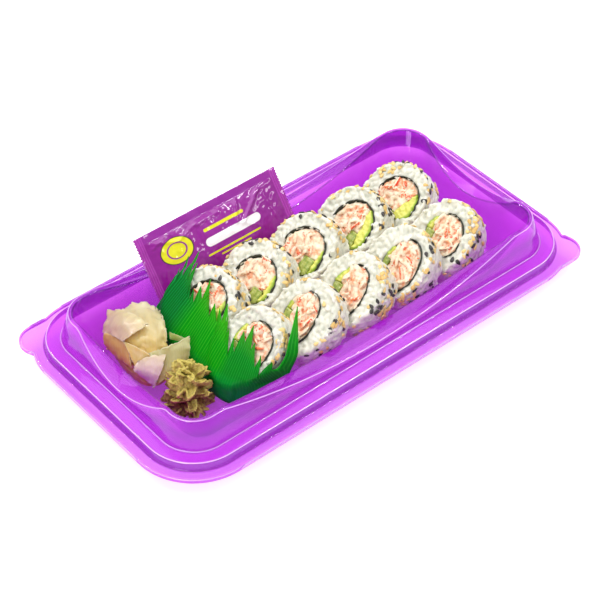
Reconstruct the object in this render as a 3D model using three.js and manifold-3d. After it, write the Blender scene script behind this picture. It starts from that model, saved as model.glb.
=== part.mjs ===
// A takeaway tray of inside-out sushi rolls with a grass divider, ginger, wasabi and a sauce packet.
// Millimetres, +Z up, origin under the middle of the tray; +X runs along the tray away from the ginger,
// +Y points to the far long side, where the packet leans.
import * as THREE from 'three';
import { mergeVertices } from 'three/addons/utils/BufferGeometryUtils.js';
import Module from 'manifold-3d';

const wasm = await Module();
wasm.setup();

// ---- Driving dimensions -------------------------------------------------------------------------
const GAP = 0.35;                     // clearance between pieces that touch

const TRAY = {
  length: 250, width: 134.6, cornerRadius: 31.35, wall: 0.9,
  floorCornerRadius: 10,
  rimZ: 10.9,                         // top of the outer flange
  skirtDrop: 2,                       // how far the flange's edge turns down
  flangeWidth: 5.4,                   // flat outer flange
  ledgeRise: 4.1, ledgeFall: 0.7,     // the second step, and its slope down to the ridge
  ledgeInset: 6.3, ridgeFoot: 13.4,
  ridgeTop: 29.4,                     // crest height at the corners
  ridgeOuter: 17.6, ridgeInner: 19.8, // insets of the crest's two edges at the corners
  outerSlope: 0.28, innerSlope: 0.40, // inset gained per millimetre of fall
  longDip: 11.2, longDipReach: 87.3,  // the crest's scoop along each side
  shortDip: 10.8, shortDipReach: 32.2,
};
const TAB = { discX: 20.5, discY: 19.5, radius: 10 };  // its lobe, from the corner arc's centre

const ROLL = {
  thickness: 16.4, halfHeight: 19.3, lowHalfHeight: 20.7, squareness: 2.1,
  lean: 54, turn: -6, midZ: 18.88,
  nori: 1.0, grain: 0.9,              // sheet thickness, and the depth of the bumps between rice grains
  segments: 24,
  pointNarrowing: 0.3, pointShift: 2.5, // how the nori ring draws to a point at its lower end
  seeds: 6, seedLength: 3.1, seedWidth: 1.9, seedHeight: 1.2,
};

// Each roll: its middle (x, y) and half widths towards the near and far long side; the nori ring's centre
// and half sizes on the cut face; where the avocado begins, measured towards its side, and how much that
// line leans; where the cucumber begins towards its side, and its top.
const rollOf = (x, y, near, far, ring, avocado, cucumber) => ({ x, y, near, far, ring, avocado, cucumber });
const FAR_ROLLS = [
  rollOf(-47.2, 13.2, 17.1, 18.7, [1.3, 0.8, 10.8, 12.0], [7.2, 0.25], [2.5, -4.0]),
  rollOf(-17.9, 12.6, 17.1, 18.7, [1.5, -1.0, 11.5, 12.4], [9.3, 0.0], [2.8, -3.0]),
  rollOf(12.2, 12.6, 17.1, 18.7, [0.6, -1.0, 11.9, 12.8], [9.6, 0.05], [2.6, -1.2]),
  rollOf(41.6, 12.6, 17.1, 18.7, [1.6, -0.8, 11.4, 13.4], [7.0, -0.15], [2.6, -2.0]),
  rollOf(70.4, 12.6, 17.1, 18.7, [1.5, 0.5, 11.6, 11.5], [6.2, 0.38], [2.0, -5.0]),
];
const NEAR_ROLLS = [
  rollOf(-46.9, -20.8, 16.0, 16.0, [1.0, 0.2, 10.7, 11.8], [5.6, 0.0], [3.6, -2.0]),
  rollOf(-17.9, -22.6, 17.1, 17.1, [-1.2, -1.0, 9.2, 13.8], [7.6, 0.0], [4.6, 0.5]),
  rollOf(11.4, -22.6, 17.1, 17.1, [-0.7, -1.3, 9.3, 13.8], [5.8, 0.0], [3.7, 0.2]),
  rollOf(40.4, -22.6, 17.1, 17.1, [2.2, -1.0, 9.9, 14.2], [4.9, 0.0], [2.9, 1.0]),
  rollOf(69.2, -22.6, 17.1, 17.1, [0.2, 0.3, 10.6, 11.6], [6.4, 0.0], [4.0, 0.5]),
];

const GRASS = {
  thickness: 0.5, blades: 19, notch: 0.42, shortest: 0.72,
  faceClearance: 1.2, faceMargin: 6.0,   // how it keeps off the first rolls
  // Guide points from the far end to the near end: foot on the floor, fold line and blade tips.
  foot: [[-64.5, 32.2, 1.4], [-69.8, 15, 1.4], [-69.9, 0, 1.4], [-69.9, -14, 1.4], [-67.5, -27, 1.4],
    [-59, -33.6, 1.4], [-49, -34.6, 1.4], [-42, -34.6, 1.4]],
  fold: [[-65, 33, 13.9], [-70, 15, 13.9], [-70.1, 0, 13.9], [-70.1, -14, 13.9], [-67.6, -27.5, 13.9],
    [-59, -36.6, 13.9], [-49, -39.1, 13.9], [-42.5, -39.3, 13.9]],
  tips: [[-39.5, 32.2, 37], [-45.4, 16, 32.4], [-49.6, 4, 28.6], [-50.8, -10, 27], [-49.3, -20, 29],
    [-53.4, -31, 26], [-52.2, -38.0, 26], [-32.3, -33.2, 44]],
};

const GINGER = {
  thickness: 1.1, layer: 2.1, peak: [-77, 22], top: 17.0,
  fallX: [19, 6.5], fallFar: [30, 4.5], fallNear: [24, 8],
  rings: 3, segments: 14, wallClearance: 1.6,
};
// Slices from the bottom up: centre, half sizes, turn, edge ruffle and how much one side curls up.
const GINGER_SLICES = [
  { centre: [-83, 19], half: [12.0, 20.5], turn: -8, ruffle: 0.05, curl: [0, 0], layer: 0 },
  { centre: [-87.3, 7.6], half: [6.0, 9.6], turn: -28, ruffle: 0.09, curl: [-0.05, -0.05], layer: 1 },
  { centre: [-76.4, 7.6], half: [7.4, 8.6], turn: -58, ruffle: 0.08, curl: [0.2, -0.1], layer: 2 },
  { centre: [-78.2, 24.5], half: [8.8, 15.5], turn: 14, ruffle: 0.1, curl: [0.08, 0], layer: 3 },
  { centre: [-85.6, 30.5], half: [7.6, 12.0], turn: -32, ruffle: 0.07, curl: [0, 0], layer: 4 },
];

const WASABI = {
  x: -82.6, y: -14.6, radius: 10.9, height: 15.6, lobes: 7, lobeDepth: 0.12, twist: 0.5, segments: 28,
  // Rise and width of each loop, as shares of the height and radius.
  profile: [[0, 0.84], [0.14, 1.0], [0.42, 0.97], [0.68, 0.78], [0.88, 0.48], [1, 0.16]],
};

const PACKET = {
  length: 85, height: 47.7, fin: 0.5, endSeal: 4.3, slope: 53.5,
  frontBulge: 4, backBulge: 1.4, columns: 12, rows: 6,
  middle: [-16.95, 40.6, 20.5],
};

const COLOUR = {
  tray: 0xc869e8, rice: 0xe9e5da, nori: 0x1b1a10, crab: 0xf3c7ae, avocado: 0xd2cc62,
  cucumber: 0x9aa84a, grass: 0x0c9a1c, ginger: 0xe3cb92, wasabi: 0xb7a84f, packet: 0x8f1f9c,
};

// ---- Helpers ------------------------------------------------------------------------------------
function seededRandom(seed) {
  let state = seed;
  return () => {
    state = (state * 1664525 + 1013904223) % 4294967296;
    return state / 4294967296;
  };
}

const lerp = THREE.MathUtils.lerp;
const radians = THREE.MathUtils.degToRad;

function toGeometry(positions, index) {
  const geometry = new THREE.BufferGeometry();
  geometry.setAttribute('position', new THREE.Float32BufferAttribute(positions, 3));
  geometry.setIndex(index);
  return facingOut(geometry);
}

// Turns every triangle round if the closed surface encloses a negative volume.
function facingOut(geometry) {
  const p = geometry.attributes.position;
  const index = geometry.index.array;
  const [a, b, c] = [new THREE.Vector3(), new THREE.Vector3(), new THREE.Vector3()];
  let volume = 0;
  for (let i = 0; i < index.length; i += 3) {
    a.fromBufferAttribute(p, index[i]);
    b.fromBufferAttribute(p, index[i + 1]);
    c.fromBufferAttribute(p, index[i + 2]);
    volume += a.dot(b.cross(c));
  }
  if (volume < 0) {
    for (let i = 0; i < index.length; i += 3) {
      [index[i], index[i + 1]] = [index[i + 1], index[i]];
    }
  }
  return geometry;
}

// Skins a row of loops that have equal numbers of points. The ends are closed by fans, or the last loop
// joins the first, which makes a ring.
function loft(loops, ring = false) {
  const count = loops[0].length;
  const positions = loops.flat().flatMap((p) => [p.x, p.y, p.z]);
  const index = [];
  const bands = ring ? loops.length : loops.length - 1;
  for (let k = 0; k < bands; k++) {
    const next = (k + 1) % loops.length;
    for (let i = 0; i < count; i++) {
      const j = (i + 1) % count;
      const [a, b, c, d] = [k * count + i, k * count + j, next * count + j, next * count + i];
      index.push(a, b, c, a, c, d);
    }
  }
  if (!ring) {
    for (const k of [0, loops.length - 1]) {
      const centre = loops[k].reduce((sum, p) => sum.add(p), new THREE.Vector3()).divideScalar(count);
      const hub = positions.length / 3;
      positions.push(centre.x, centre.y, centre.z);
      for (let i = 0; i < count; i++) {
        const j = (i + 1) % count;
        if (k === 0) index.push(k * count + j, k * count + i, hub);
        else index.push(k * count + i, k * count + j, hub);
      }
    }
  }
  return toGeometry(positions, index);
}

// Gives an open surface a thickness: both faces are split alike and the rim is closed.
function sheet(points, triangles, thickness) {
  const normals = points.map(() => new THREE.Vector3());
  const edges = new Map();
  for (const [a, b, c] of triangles) {
    const normal = points[b].clone().sub(points[a]).cross(points[c].clone().sub(points[a]));
    for (const k of [a, b, c]) normals[k].add(normal);
    for (const [from, to] of [[a, b], [b, c], [c, a]]) {
      if (!edges.delete(`${to},${from}`)) edges.set(`${from},${to}`, [from, to]);
    }
  }
  const half = thickness / 2;
  const upper = points.map((p, k) => p.clone().addScaledVector(normals[k].normalize(), half));
  const lower = points.map((p, k) => p.clone().addScaledVector(normals[k], -half));
  const n = points.length;
  const index = triangles.flatMap(([a, b, c]) => [a, b, c, n + a, n + c, n + b]);
  for (const [a, b] of edges.values()) index.push(b, a, n + a, b, n + a, n + b);
  return toGeometry([...upper, ...lower].flatMap((p) => [p.x, p.y, p.z]), index);
}

function toSolid(geometry) {
  const bare = geometry.clone();
  for (const name of ['normal', 'uv']) bare.deleteAttribute(name);
  const merged = mergeVertices(bare, 1e-4);
  const vertProperties = new Float32Array(merged.attributes.position.array);
  const triVerts = new Uint32Array(merged.index.array);
  return new wasm.Manifold(new wasm.Mesh({ numProp: 3, vertProperties, triVerts }));
}

function fromSolid(solid) {
  const mesh = solid.getMesh();
  const geometry = new THREE.BufferGeometry();
  geometry.setAttribute('position', new THREE.BufferAttribute(new Float32Array(mesh.vertProperties), 3));
  geometry.setIndex(new THREE.BufferAttribute(new Uint32Array(mesh.triVerts), 1));
  return geometry;
}

function named(name, geometry, color, roughness) {
  geometry.computeVertexNormals();
  const material = new THREE.MeshStandardMaterial({ color, roughness, metalness: 0 });
  const mesh = new THREE.Mesh(geometry, material);
  mesh.name = name;
  return mesh;
}

function guide(points) {
  return new THREE.CatmullRomCurve3(points.map((p) => new THREE.Vector3(...p)), false, 'centripetal');
}

// ---- Tray ---------------------------------------------------------------------------------------
// Stations run once round the tray. Each gives its point at any inset from the outline, so that every
// loop of the shell has the same number of points.
function trayStations() {
  const stations = [];
  const corners = [[1, 1, 0], [-1, 1, 90], [-1, -1, 180], [1, -1, 270]];
  for (const [sx, sy, from] of corners) {
    const hasTab = sx * sy < 0;
    const steps = hasTab ? 12 : 6;
    for (let i = 0; i <= steps; i++) {
      stations.push({ corner: true, sx, sy, hasTab, angle: radians(from + (90 * i) / steps) });
    }
    const alongX = sx * sy > 0;
    const sideSteps = alongX ? 8 : 4;
    for (let i = 1; i < sideSteps; i++) {
      const t = 1 - (2 * i) / sideSteps;
      stations.push(alongX ? { along: 'x', t: t * sx, side: sy } : { along: 'y', t: t * sy, side: sx });
    }
  }
  return stations;
}

function insetPoint(station, inset) {
  const radius = Math.max(TRAY.cornerRadius - inset, TRAY.floorCornerRadius);
  const hx = TRAY.length / 2 - inset - radius;
  const hy = TRAY.width / 2 - inset - radius;
  if (station.corner) {
    const { sx, sy, angle } = station;
    return [sx * hx + radius * Math.cos(angle), sy * hy + radius * Math.sin(angle)];
  }
  if (station.along === 'x') return [station.t * hx, station.side * (hy + radius)];
  return [station.side * (hx + radius), station.t * hy];
}

// A thumb tab fills two opposite corners: a lobe whose edge runs on from the long side.
function tabReach(station) {
  if (!station.corner || !station.hasTab) return 0;
  const x = Math.abs(Math.cos(station.angle));
  const y = Math.abs(Math.sin(station.angle));
  const along = x * TAB.discX + y * TAB.discY;
  const across = x * TAB.discY - y * TAB.discX;
  const lobe = Math.abs(across) < TAB.radius ? along + Math.sqrt(TAB.radius ** 2 - across ** 2) : 0;
  const edge = (TAB.discY + TAB.radius) / Math.max(y, 0.01);
  const beforeLobe = x / y < TAB.discX / (TAB.discY + TAB.radius);
  const reach = beforeLobe ? edge : lobe;
  return Math.max(0, reach - TRAY.cornerRadius);
}

function crestZ(station) {
  let dip = 0;
  if (station.along === 'x') {
    const run = Math.abs(station.t) * (TRAY.length / 2 - TRAY.cornerRadius);
    dip = TRAY.longDip * Math.max(0, 1 - (run / TRAY.longDipReach) ** 2);
  }
  if (station.along === 'y') {
    const run = Math.abs(station.t) * (TRAY.width / 2 - TRAY.cornerRadius);
    dip = TRAY.shortDip * Math.max(0, 1 - (run / TRAY.shortDipReach) ** 2);
  }
  return TRAY.ridgeTop - dip;
}

const innerWallInset = (z) => TRAY.ridgeInner + TRAY.innerSlope * (TRAY.ridgeTop - z);
const outerWallInset = (z) => TRAY.ridgeOuter - TRAY.outerSlope * (TRAY.ridgeTop - z);

function trayLoops() {
  const { wall, rimZ } = TRAY;
  const ledgeZ = rimZ + TRAY.ledgeRise;
  const footZ = ledgeZ - TRAY.ledgeFall;
  const upper = [
    () => [innerWallInset(wall) + 1.6, wall],
    () => [innerWallInset(wall) - 0.2, wall + 1.4],
    () => [innerWallInset(6), 6],
    (z) => [innerWallInset(z), z],
    (z) => [outerWallInset(z), z],
    () => [TRAY.ridgeFoot, footZ],
    () => [TRAY.ledgeInset, ledgeZ],
    () => [TRAY.flangeWidth, rimZ],
    () => [0, rimZ],
    () => [0, rimZ - TRAY.skirtDrop],
  ];
  const lower = [
    () => [wall, rimZ - TRAY.skirtDrop],
    () => [wall, rimZ - wall],
    () => [TRAY.flangeWidth + 0.8, rimZ - wall],
    () => [TRAY.ledgeInset + 0.8, ledgeZ - wall],
    () => [TRAY.ridgeFoot + wall, footZ - wall],
    (z) => [outerWallInset(z) + wall + 0.05, z - wall],
    (z) => [innerWallInset(z) - wall - 0.05, z - wall],
    () => [innerWallInset(wall) - 0.6, 0.5],
    () => [innerWallInset(wall) + 1.2, 0],
  ];
  const stations = trayStations();
  return [...upper, ...lower].map((profile) => stations.map((station) => {
    const [inset, z] = profile(crestZ(station));
    const onEdge = inset <= TRAY.wall;
    const [x, y] = insetPoint(station, onEdge ? inset - tabReach(station) : inset);
    if (!onEdge || !station.corner) return new THREE.Vector3(x, y, z);
    const reach = TRAY.cornerRadius - inset + tabReach(station);
    const cx = station.sx * (TRAY.length / 2 - TRAY.cornerRadius);
    const cy = station.sy * (TRAY.width / 2 - TRAY.cornerRadius);
    return new THREE.Vector3(cx + reach * Math.cos(station.angle), cy + reach * Math.sin(station.angle), z);
  }));
}

// How far a point lies inside the tray's outline, measured as the walls' insets are.
function insetOf(x, y, radius) {
  const dx = Math.abs(x) - (TRAY.length / 2 - radius);
  const dy = Math.abs(y) - (TRAY.width / 2 - radius);
  if (dx > 0 && dy > 0) return radius - Math.hypot(dx, dy);
  return radius - Math.max(dx, dy);
}

// Draws a point of the food towards a centre until it clears the tray's inner wall.
function insideWall(point, centre, clearance) {
  const inset = innerWallInset(point.z) + clearance;
  const radius = inset + TRAY.floorCornerRadius;
  for (let step = 0; step < 60 && insetOf(point.x, point.y, radius) < inset; step++) {
    point.x = lerp(point.x, centre[0], 0.02);
    point.y = lerp(point.y, centre[1], 0.02);
  }
  return point;
}

// ---- Rolls --------------------------------------------------------------------------------------
// On a roll's own axes +X points to the near long side, +Y up the cut face and +Z out of that face.
function riceEdge(roll, angle, inset) {
  const [c, s] = [Math.cos(angle), Math.sin(angle)];
  const halfWidth = (c > 0 ? roll.near : roll.far) - inset;
  const halfHeight = (s > 0 ? ROLL.halfHeight : ROLL.lowHalfHeight) - inset;
  const power = ROLL.squareness;
  const reach = (Math.abs(c / halfWidth) ** power + Math.abs(s / halfHeight) ** power) ** (-1 / power);
  return [reach * c, reach * s];
}

function ringEdge(roll, angle, grow) {
  const [x, y, halfWidth, halfHeight] = roll.ring;
  const [c, s] = [Math.cos(angle), Math.sin(angle)];
  const low = Math.max(0, -s);
  const width = (halfWidth + grow) * (1 - ROLL.pointNarrowing * low ** 3);
  return [x + width * c + ROLL.pointShift * low * Math.abs(c), y + (halfHeight + grow) * s];
}

function angles(count) {
  return Array.from({ length: count }, (_, i) => (2 * Math.PI * i) / count);
}

function seedGeometry(roll, angle, z, spin) {
  const [x, y] = riceEdge(roll, angle, 0.5);
  const geometry = new THREE.IcosahedronGeometry(0.5, 0);
  geometry.scale(ROLL.seedLength, ROLL.seedWidth, ROLL.seedHeight);
  geometry.rotateZ(spin);
  geometry.rotateY(Math.PI / 2);
  geometry.rotateZ(angle);
  geometry.translate(x, y, z);
  return geometry;
}

// The rice wrapper: a thick ring with a bumpy side, and sesame seeds pressed into the parts of the side
// that are open to the air.
function riceGeometry(roll, row, random) {
  const half = ROLL.thickness / 2;
  const steps = angles(ROLL.segments);
  const rounding = [[half, 1.7], [half - 1.0, 0.6], [half - 3.0, 0]];
  const back = rounding.map(([z, inset]) => [-z, inset]).reverse();
  const loops = [...rounding, ...back].map(([z, inset]) => steps.map((angle) => {
    const [x, y] = riceEdge(roll, angle, inset + ROLL.grain * random());
    return new THREE.Vector3(x, y, z);
  }));
  for (const z of [-half, half]) {
    loops.push(steps.map((angle) => new THREE.Vector3(...ringEdge(roll, angle, ROLL.nori / 2 + GAP), z)));
  }
  let solid = toSolid(loft(loops, true));
  const [from, to] = row === 'near' ? [-0.35, 1.9] : [1.15, 3.3];
  const step = (to - from) / ROLL.seeds;
  for (let i = 0; i < ROLL.seeds; i++) {
    const angle = from + step * (i + 0.2 + 0.6 * random());
    const z = (half - 4.2) * (i % 2 ? 1 : -1) * (0.25 + 0.75 * random());
    solid = solid.add(toSolid(seedGeometry(roll, angle, z, Math.PI * random())));
  }
  return fromSolid(solid);
}

function noriGeometry(roll) {
  const half = ROLL.thickness / 2 - 0.1;
  const steps = angles(ROLL.segments);
  const loops = [[1, half], [1, -half], [-1, -half], [-1, half]].map(([side, z]) => steps.map(
    (angle) => new THREE.Vector3(...ringEdge(roll, angle, (side * ROLL.nori) / 2), z)));
  return loft(loops, true);
}

// Keeps the part of a convex outline where keep(x, y) is positive.
function trim(outline, keep) {
  const kept = [];
  outline.forEach((point, i) => {
    const next = outline[(i + 1) % outline.length];
    const [a, b] = [keep(...point), keep(...next)];
    if (a >= 0) kept.push(point);
    if (a * b < 0) kept.push([lerp(point[0], next[0], a / (a - b)), lerp(point[1], next[1], a / (a - b))]);
  });
  return kept;
}

function prism(outline, thickness) {
  const shape = new THREE.Shape(outline.map(([x, y]) => new THREE.Vector2(x, y)));
  const geometry = new THREE.ExtrudeGeometry(shape, { depth: thickness, bevelEnabled: false, steps: 1 });
  return geometry.translate(0, 0, -thickness / 2);
}

// The filling inside the nori: an avocado strip on one side, a cucumber stick at its foot, crab beside.
function fillings(roll, row) {
  const side = row === 'near' ? -1 : 1;
  const room = angles(ROLL.segments).map((angle) => ringEdge(roll, angle, -ROLL.nori / 2 - GAP));
  const [avocadoFrom, avocadoLean] = roll.avocado;
  const [cucumberFrom, cucumberTop] = roll.cucumber;
  const half = GAP / 2;
  const pastAvocado = (x, y) => side * x - avocadoFrom - avocadoLean * y;
  const avocado = trim(room, (x, y) => pastAvocado(x, y) - half);
  const beside = trim(room, (x, y) => -pastAvocado(x, y) - half);
  const crabTop = trim(beside, (x, y) => y - cucumberTop - half);
  const crabSide = trim(beside, (x) => cucumberFrom - side * x - half);
  const below = (outline) => trim(outline, (x, y) => cucumberTop - y - half);
  const lowCorner = (outline) => trim(below(outline), (x) => side * x - cucumberFrom - half);
  const cucumber = row === 'near' ? lowCorner(room) : lowCorner(beside);
  const avocadoPart = row === 'near' ? trim(avocado, (x, y) => y - cucumberTop - half) : avocado;
  const thickness = ROLL.thickness - 0.4;
  return {
    crab: fromSolid(toSolid(prism(crabTop, thickness)).add(toSolid(prism(crabSide, thickness)))),
    avocado: prism(avocadoPart, thickness),
    cucumber: prism(cucumber, thickness),
  };
}

function makeRoll(roll, row, number) {
  const group = new THREE.Group();
  const name = `roll_${row}_${number}`;
  const random = seededRandom(number * 101 + (row === 'near' ? 7 : 3));
  const filling = fillings(roll, row);
  group.add(named(`${name}_rice`, riceGeometry(roll, row, random), COLOUR.rice, 0.55));
  group.add(named(`${name}_nori`, noriGeometry(roll), COLOUR.nori, 0.5));
  group.add(named(`${name}_crab`, filling.crab, COLOUR.crab, 0.5));
  group.add(named(`${name}_avocado`, filling.avocado, COLOUR.avocado, 0.45));
  group.add(named(`${name}_cucumber`, filling.cucumber, COLOUR.cucumber, 0.35));
  group.position.set(roll.x, roll.y, ROLL.midZ);
  group.rotation.set(radians(90 - ROLL.lean), 0, radians(-90 - ROLL.turn), 'ZYX');
  group.userData = roll;
  group.updateMatrixWorld();
  return group;
}

// ---- Grass divider ------------------------------------------------------------------------------
// Moves a point of the divider out in front of a roll's cut face if it is behind that face.
function inFrontOf(roll, point) {
  const local = roll.worldToLocal(point.clone());
  const reach = riceEdge(roll.userData, Math.atan2(local.y, local.x), -GRASS.faceMargin);
  const face = ROLL.thickness / 2 + GRASS.faceClearance;
  if (Math.hypot(local.x, local.y) < Math.hypot(...reach) && local.z < face) {
    local.z = face;
    point.copy(roll.localToWorld(local));
  }
  return point;
}

// A folded strip of thin film: it stands on the floor, leans back along the first rolls above its fold
// line and is cut into pointed blades.
function grassGeometry(firstRolls) {
  const random = seededRandom(41);
  const [foot, fold, tips] = [guide(GRASS.foot), guide(GRASS.fold), guide(GRASS.tips)];
  const points = [];
  const triangles = [];
  const add = (point) => {
    for (const roll of firstRolls) inFrontOf(roll, point);
    return points.push(point) - 1;
  };
  const blend = (t, share) => fold.getPoint(t).lerp(tips.getPoint(t), share);
  const column = (t) => [add(foot.getPoint(t)), add(fold.getPoint(t)), add(blend(t, GRASS.notch))];
  let left = column(0);
  for (let i = 0; i < GRASS.blades; i++) {
    const [t0, t1] = [i / GRASS.blades, (i + 1) / GRASS.blades];
    const middle = (t0 + t1) / 2;
    const last = i === GRASS.blades - 1;
    const length = last || i === 0 ? 1 : lerp(GRASS.shortest, 1, random());
    const share = lerp(GRASS.notch, length, 0.5);
    const spine = column(middle);
    const right = column(t1);
    const waistLeft = add(blend(lerp(t0, middle, 0.42), share));
    const waistRight = add(blend(lerp(t1, middle, 0.42), share));
    const tip = add(blend(middle, length));
    for (const [a, b] of [[left, spine], [spine, right]]) {
      for (const k of [0, 1]) {
        triangles.push([a[k], b[k], b[k + 1]], [a[k], b[k + 1], a[k + 1]]);
      }
    }
    triangles.push([left[2], spine[2], waistLeft], [spine[2], right[2], waistRight]);
    triangles.push([spine[2], waistRight, waistLeft], [waistLeft, waistRight, tip]);
    left = right;
  }
  return sheet(points, triangles, GRASS.thickness);
}

// ---- Ginger -------------------------------------------------------------------------------------
function gingerMound(x, y) {
  const [dx, dy] = [x - GINGER.peak[0], y - GINGER.peak[1]];
  const [reachY, fallY] = dy > 0 ? GINGER.fallFar : GINGER.fallNear;
  const fold = 0.5 * Math.sin(0.42 * x + 0.5 * y) + 0.35 * Math.sin(0.8 * x - 0.33 * y);
  const fallX = GINGER.fallX[1] * (dx / GINGER.fallX[0]) ** 2;
  return GINGER.top - fallX - fallY * (dy / reachY) ** 2 + fold;
}

function gingerPoint(slice, share, angle) {
  const turn = radians(slice.turn);
  const edge = 1 + slice.ruffle * (Math.sin(5 * angle + slice.layer) + 0.6 * Math.sin(9 * angle));
  const [u, v] = [Math.cos(angle), Math.sin(angle)].map((k, i) => slice.half[i] * share * edge * k);
  const x = slice.centre[0] + u * Math.cos(turn) - v * Math.sin(turn);
  const y = slice.centre[1] + u * Math.sin(turn) + v * Math.cos(turn);
  const curl = Math.max(0, slice.curl[0] * (x - slice.centre[0]) + slice.curl[1] * (y - slice.centre[1]));
  return new THREE.Vector3(x, y, gingerMound(x, y) + slice.layer * GINGER.layer + curl * share);
}

function gingerSliceGeometry(slice) {
  const points = [gingerPoint(slice, 0, 0)];
  const triangles = [];
  const steps = angles(GINGER.segments);
  for (let ring = 1; ring <= GINGER.rings; ring++) {
    for (const angle of steps) {
      const point = gingerPoint(slice, ring / GINGER.rings, angle);
      points.push(insideWall(point, slice.centre, GINGER.wallClearance));
    }
  }
  steps.forEach((_, i) => {
    const j = (i + 1) % GINGER.segments;
    triangles.push([0, 1 + i, 1 + j]);
    for (let ring = 1; ring < GINGER.rings; ring++) {
      const [low, high] = [1 + (ring - 1) * GINGER.segments, 1 + ring * GINGER.segments];
      triangles.push([low + i, high + i, high + j], [low + i, high + j, low + j]);
    }
  });
  return sheet(points, triangles, GINGER.thickness);
}

// The packed slices at the bottom of the heap, closed down to the tray's floor.
function gingerHeapGeometry(slice) {
  const steps = angles(GINGER.segments);
  const loops = [[0.5, 0], [0.85, 0], [1, 1.4]].map(([share, drop]) => steps.map((angle) => {
    const point = insideWall(gingerPoint(slice, share, angle), slice.centre, GINGER.wallClearance);
    point.z -= drop;
    return point;
  }));
  for (const [share, z] of [[0.98, 6.5], [0.86, TRAY.wall + GAP]]) {
    loops.push(steps.map((angle) => {
      const point = gingerPoint(slice, share, angle);
      point.z = z;
      return insideWall(point, slice.centre, GINGER.wallClearance);
    }));
  }
  return loft(loops);
}

// ---- Wasabi -------------------------------------------------------------------------------------
// A piped rosette: lobes that wind round and draw in to a low peak.
function wasabiGeometry() {
  const base = TRAY.wall + GAP;
  const last = WASABI.profile.length - 1;
  const loops = WASABI.profile.map(([rise, width], k) => angles(WASABI.segments).map((angle) => {
    const wave = 1 + WASABI.lobeDepth * Math.cos(WASABI.lobes * angle + WASABI.twist * k);
    const radius = WASABI.radius * width * wave;
    const ruffle = k > 0 && k < last ? 0.45 * Math.sin(5 * angle + 2 * k) : 0;
    const [x, y] = [WASABI.x + radius * Math.cos(angle), WASABI.y + radius * Math.sin(angle)];
    return new THREE.Vector3(x, y, base + rise * WASABI.height + ruffle);
  }));
  return loft(loops);
}

// ---- Sauce packet -------------------------------------------------------------------------------
// A flat pillow of film with thin sealed ends, fuller in its upper half, where nothing presses on it.
function packetGeometry() {
  const { columns, rows } = PACKET;
  const bulge = (u, v) => Math.sin(Math.PI * u) ** 0.55 * Math.sin(Math.PI * v ** 1.7) ** 0.8;
  const ends = PACKET.endSeal / PACKET.length;
  const face = (front) => (u, v) => {
    const inner = THREE.MathUtils.clamp((u - ends) / (1 - 2 * ends), 0, 1);
    const rise = bulge(inner, THREE.MathUtils.clamp(v, 0, 1));
    const z = front ? PACKET.fin / 2 + PACKET.frontBulge * rise : -PACKET.fin / 2 - PACKET.backBulge * rise;
    return new THREE.Vector3((u - 0.5) * PACKET.length, (v - 0.5) * PACKET.height, z);
  };
  const [front, back] = [face(true), face(false)];
  const between = Array.from({ length: columns - 1 }, (_, i) => lerp(ends, 1 - ends, i / (columns - 2)));
  const us = [0, ...between, 1];
  const positions = [];
  for (const surface of [front, back]) {
    for (let r = 0; r <= rows; r++) for (const u of us) positions.push(...surface(u, r / rows).toArray());
  }
  const index = [];
  const at = (r, c, offset) => offset + r * (columns + 1) + c;
  const behind = (rows + 1) * (columns + 1);
  for (let r = 0; r < rows; r++) {
    for (let c = 0; c < columns; c++) {
      const quad = (o) => [at(r, c, o), at(r, c + 1, o), at(r + 1, c + 1, o), at(r + 1, c, o)];
      const [a, b, d, e] = quad(0);
      const [f, g, h, i] = quad(behind);
      index.push(a, b, d, a, d, e, f, h, g, f, i, h);
    }
  }
  const rim = [];
  for (let c = 0; c < columns; c++) rim.push([at(0, c, 0), at(0, c + 1, 0)]);
  for (let r = 0; r < rows; r++) rim.push([at(r, columns, 0), at(r + 1, columns, 0)]);
  for (let c = columns; c > 0; c--) rim.push([at(rows, c, 0), at(rows, c - 1, 0)]);
  for (let r = rows; r > 0; r--) rim.push([at(r, 0, 0), at(r - 1, 0, 0)]);
  for (const [a, b] of rim) index.push(b, a, a + behind, b, a + behind, b + behind);
  return toGeometry(positions, index);
}

function makePacket() {
  const packet = named('sauce_packet', packetGeometry(), COLOUR.packet, 0.3);
  packet.position.set(...PACKET.middle);
  packet.rotation.x = radians(PACKET.slope);
  return packet;
}

// ---- The whole tray -----------------------------------------------------------------------------
const sushiTray = new THREE.Group();
sushiTray.add(named('tray', loft(trayLoops()), COLOUR.tray, 0.15));
const farRow = FAR_ROLLS.map((roll, i) => makeRoll(roll, 'far', i + 1));
const nearRow = NEAR_ROLLS.map((roll, i) => makeRoll(roll, 'near', i + 1));
sushiTray.add(...farRow, ...nearRow);
sushiTray.add(named('grass_divider', grassGeometry([farRow[0], nearRow[0]]), COLOUR.grass, 0.4));
GINGER_SLICES.forEach((slice, i) => {
  const geometry = slice.layer === 0 ? gingerHeapGeometry(slice) : gingerSliceGeometry(slice);
  sushiTray.add(named(`ginger_${i + 1}`, geometry, COLOUR.ginger, 0.35));
});
sushiTray.add(named('wasabi', wasabiGeometry(), COLOUR.wasabi, 0.6));
sushiTray.add(makePacket());

export default sushiTray;
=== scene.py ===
import math
import random

import bmesh
import bpy
import numpy as np
from mathutils import Matrix, Vector, kdtree, noise


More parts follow.
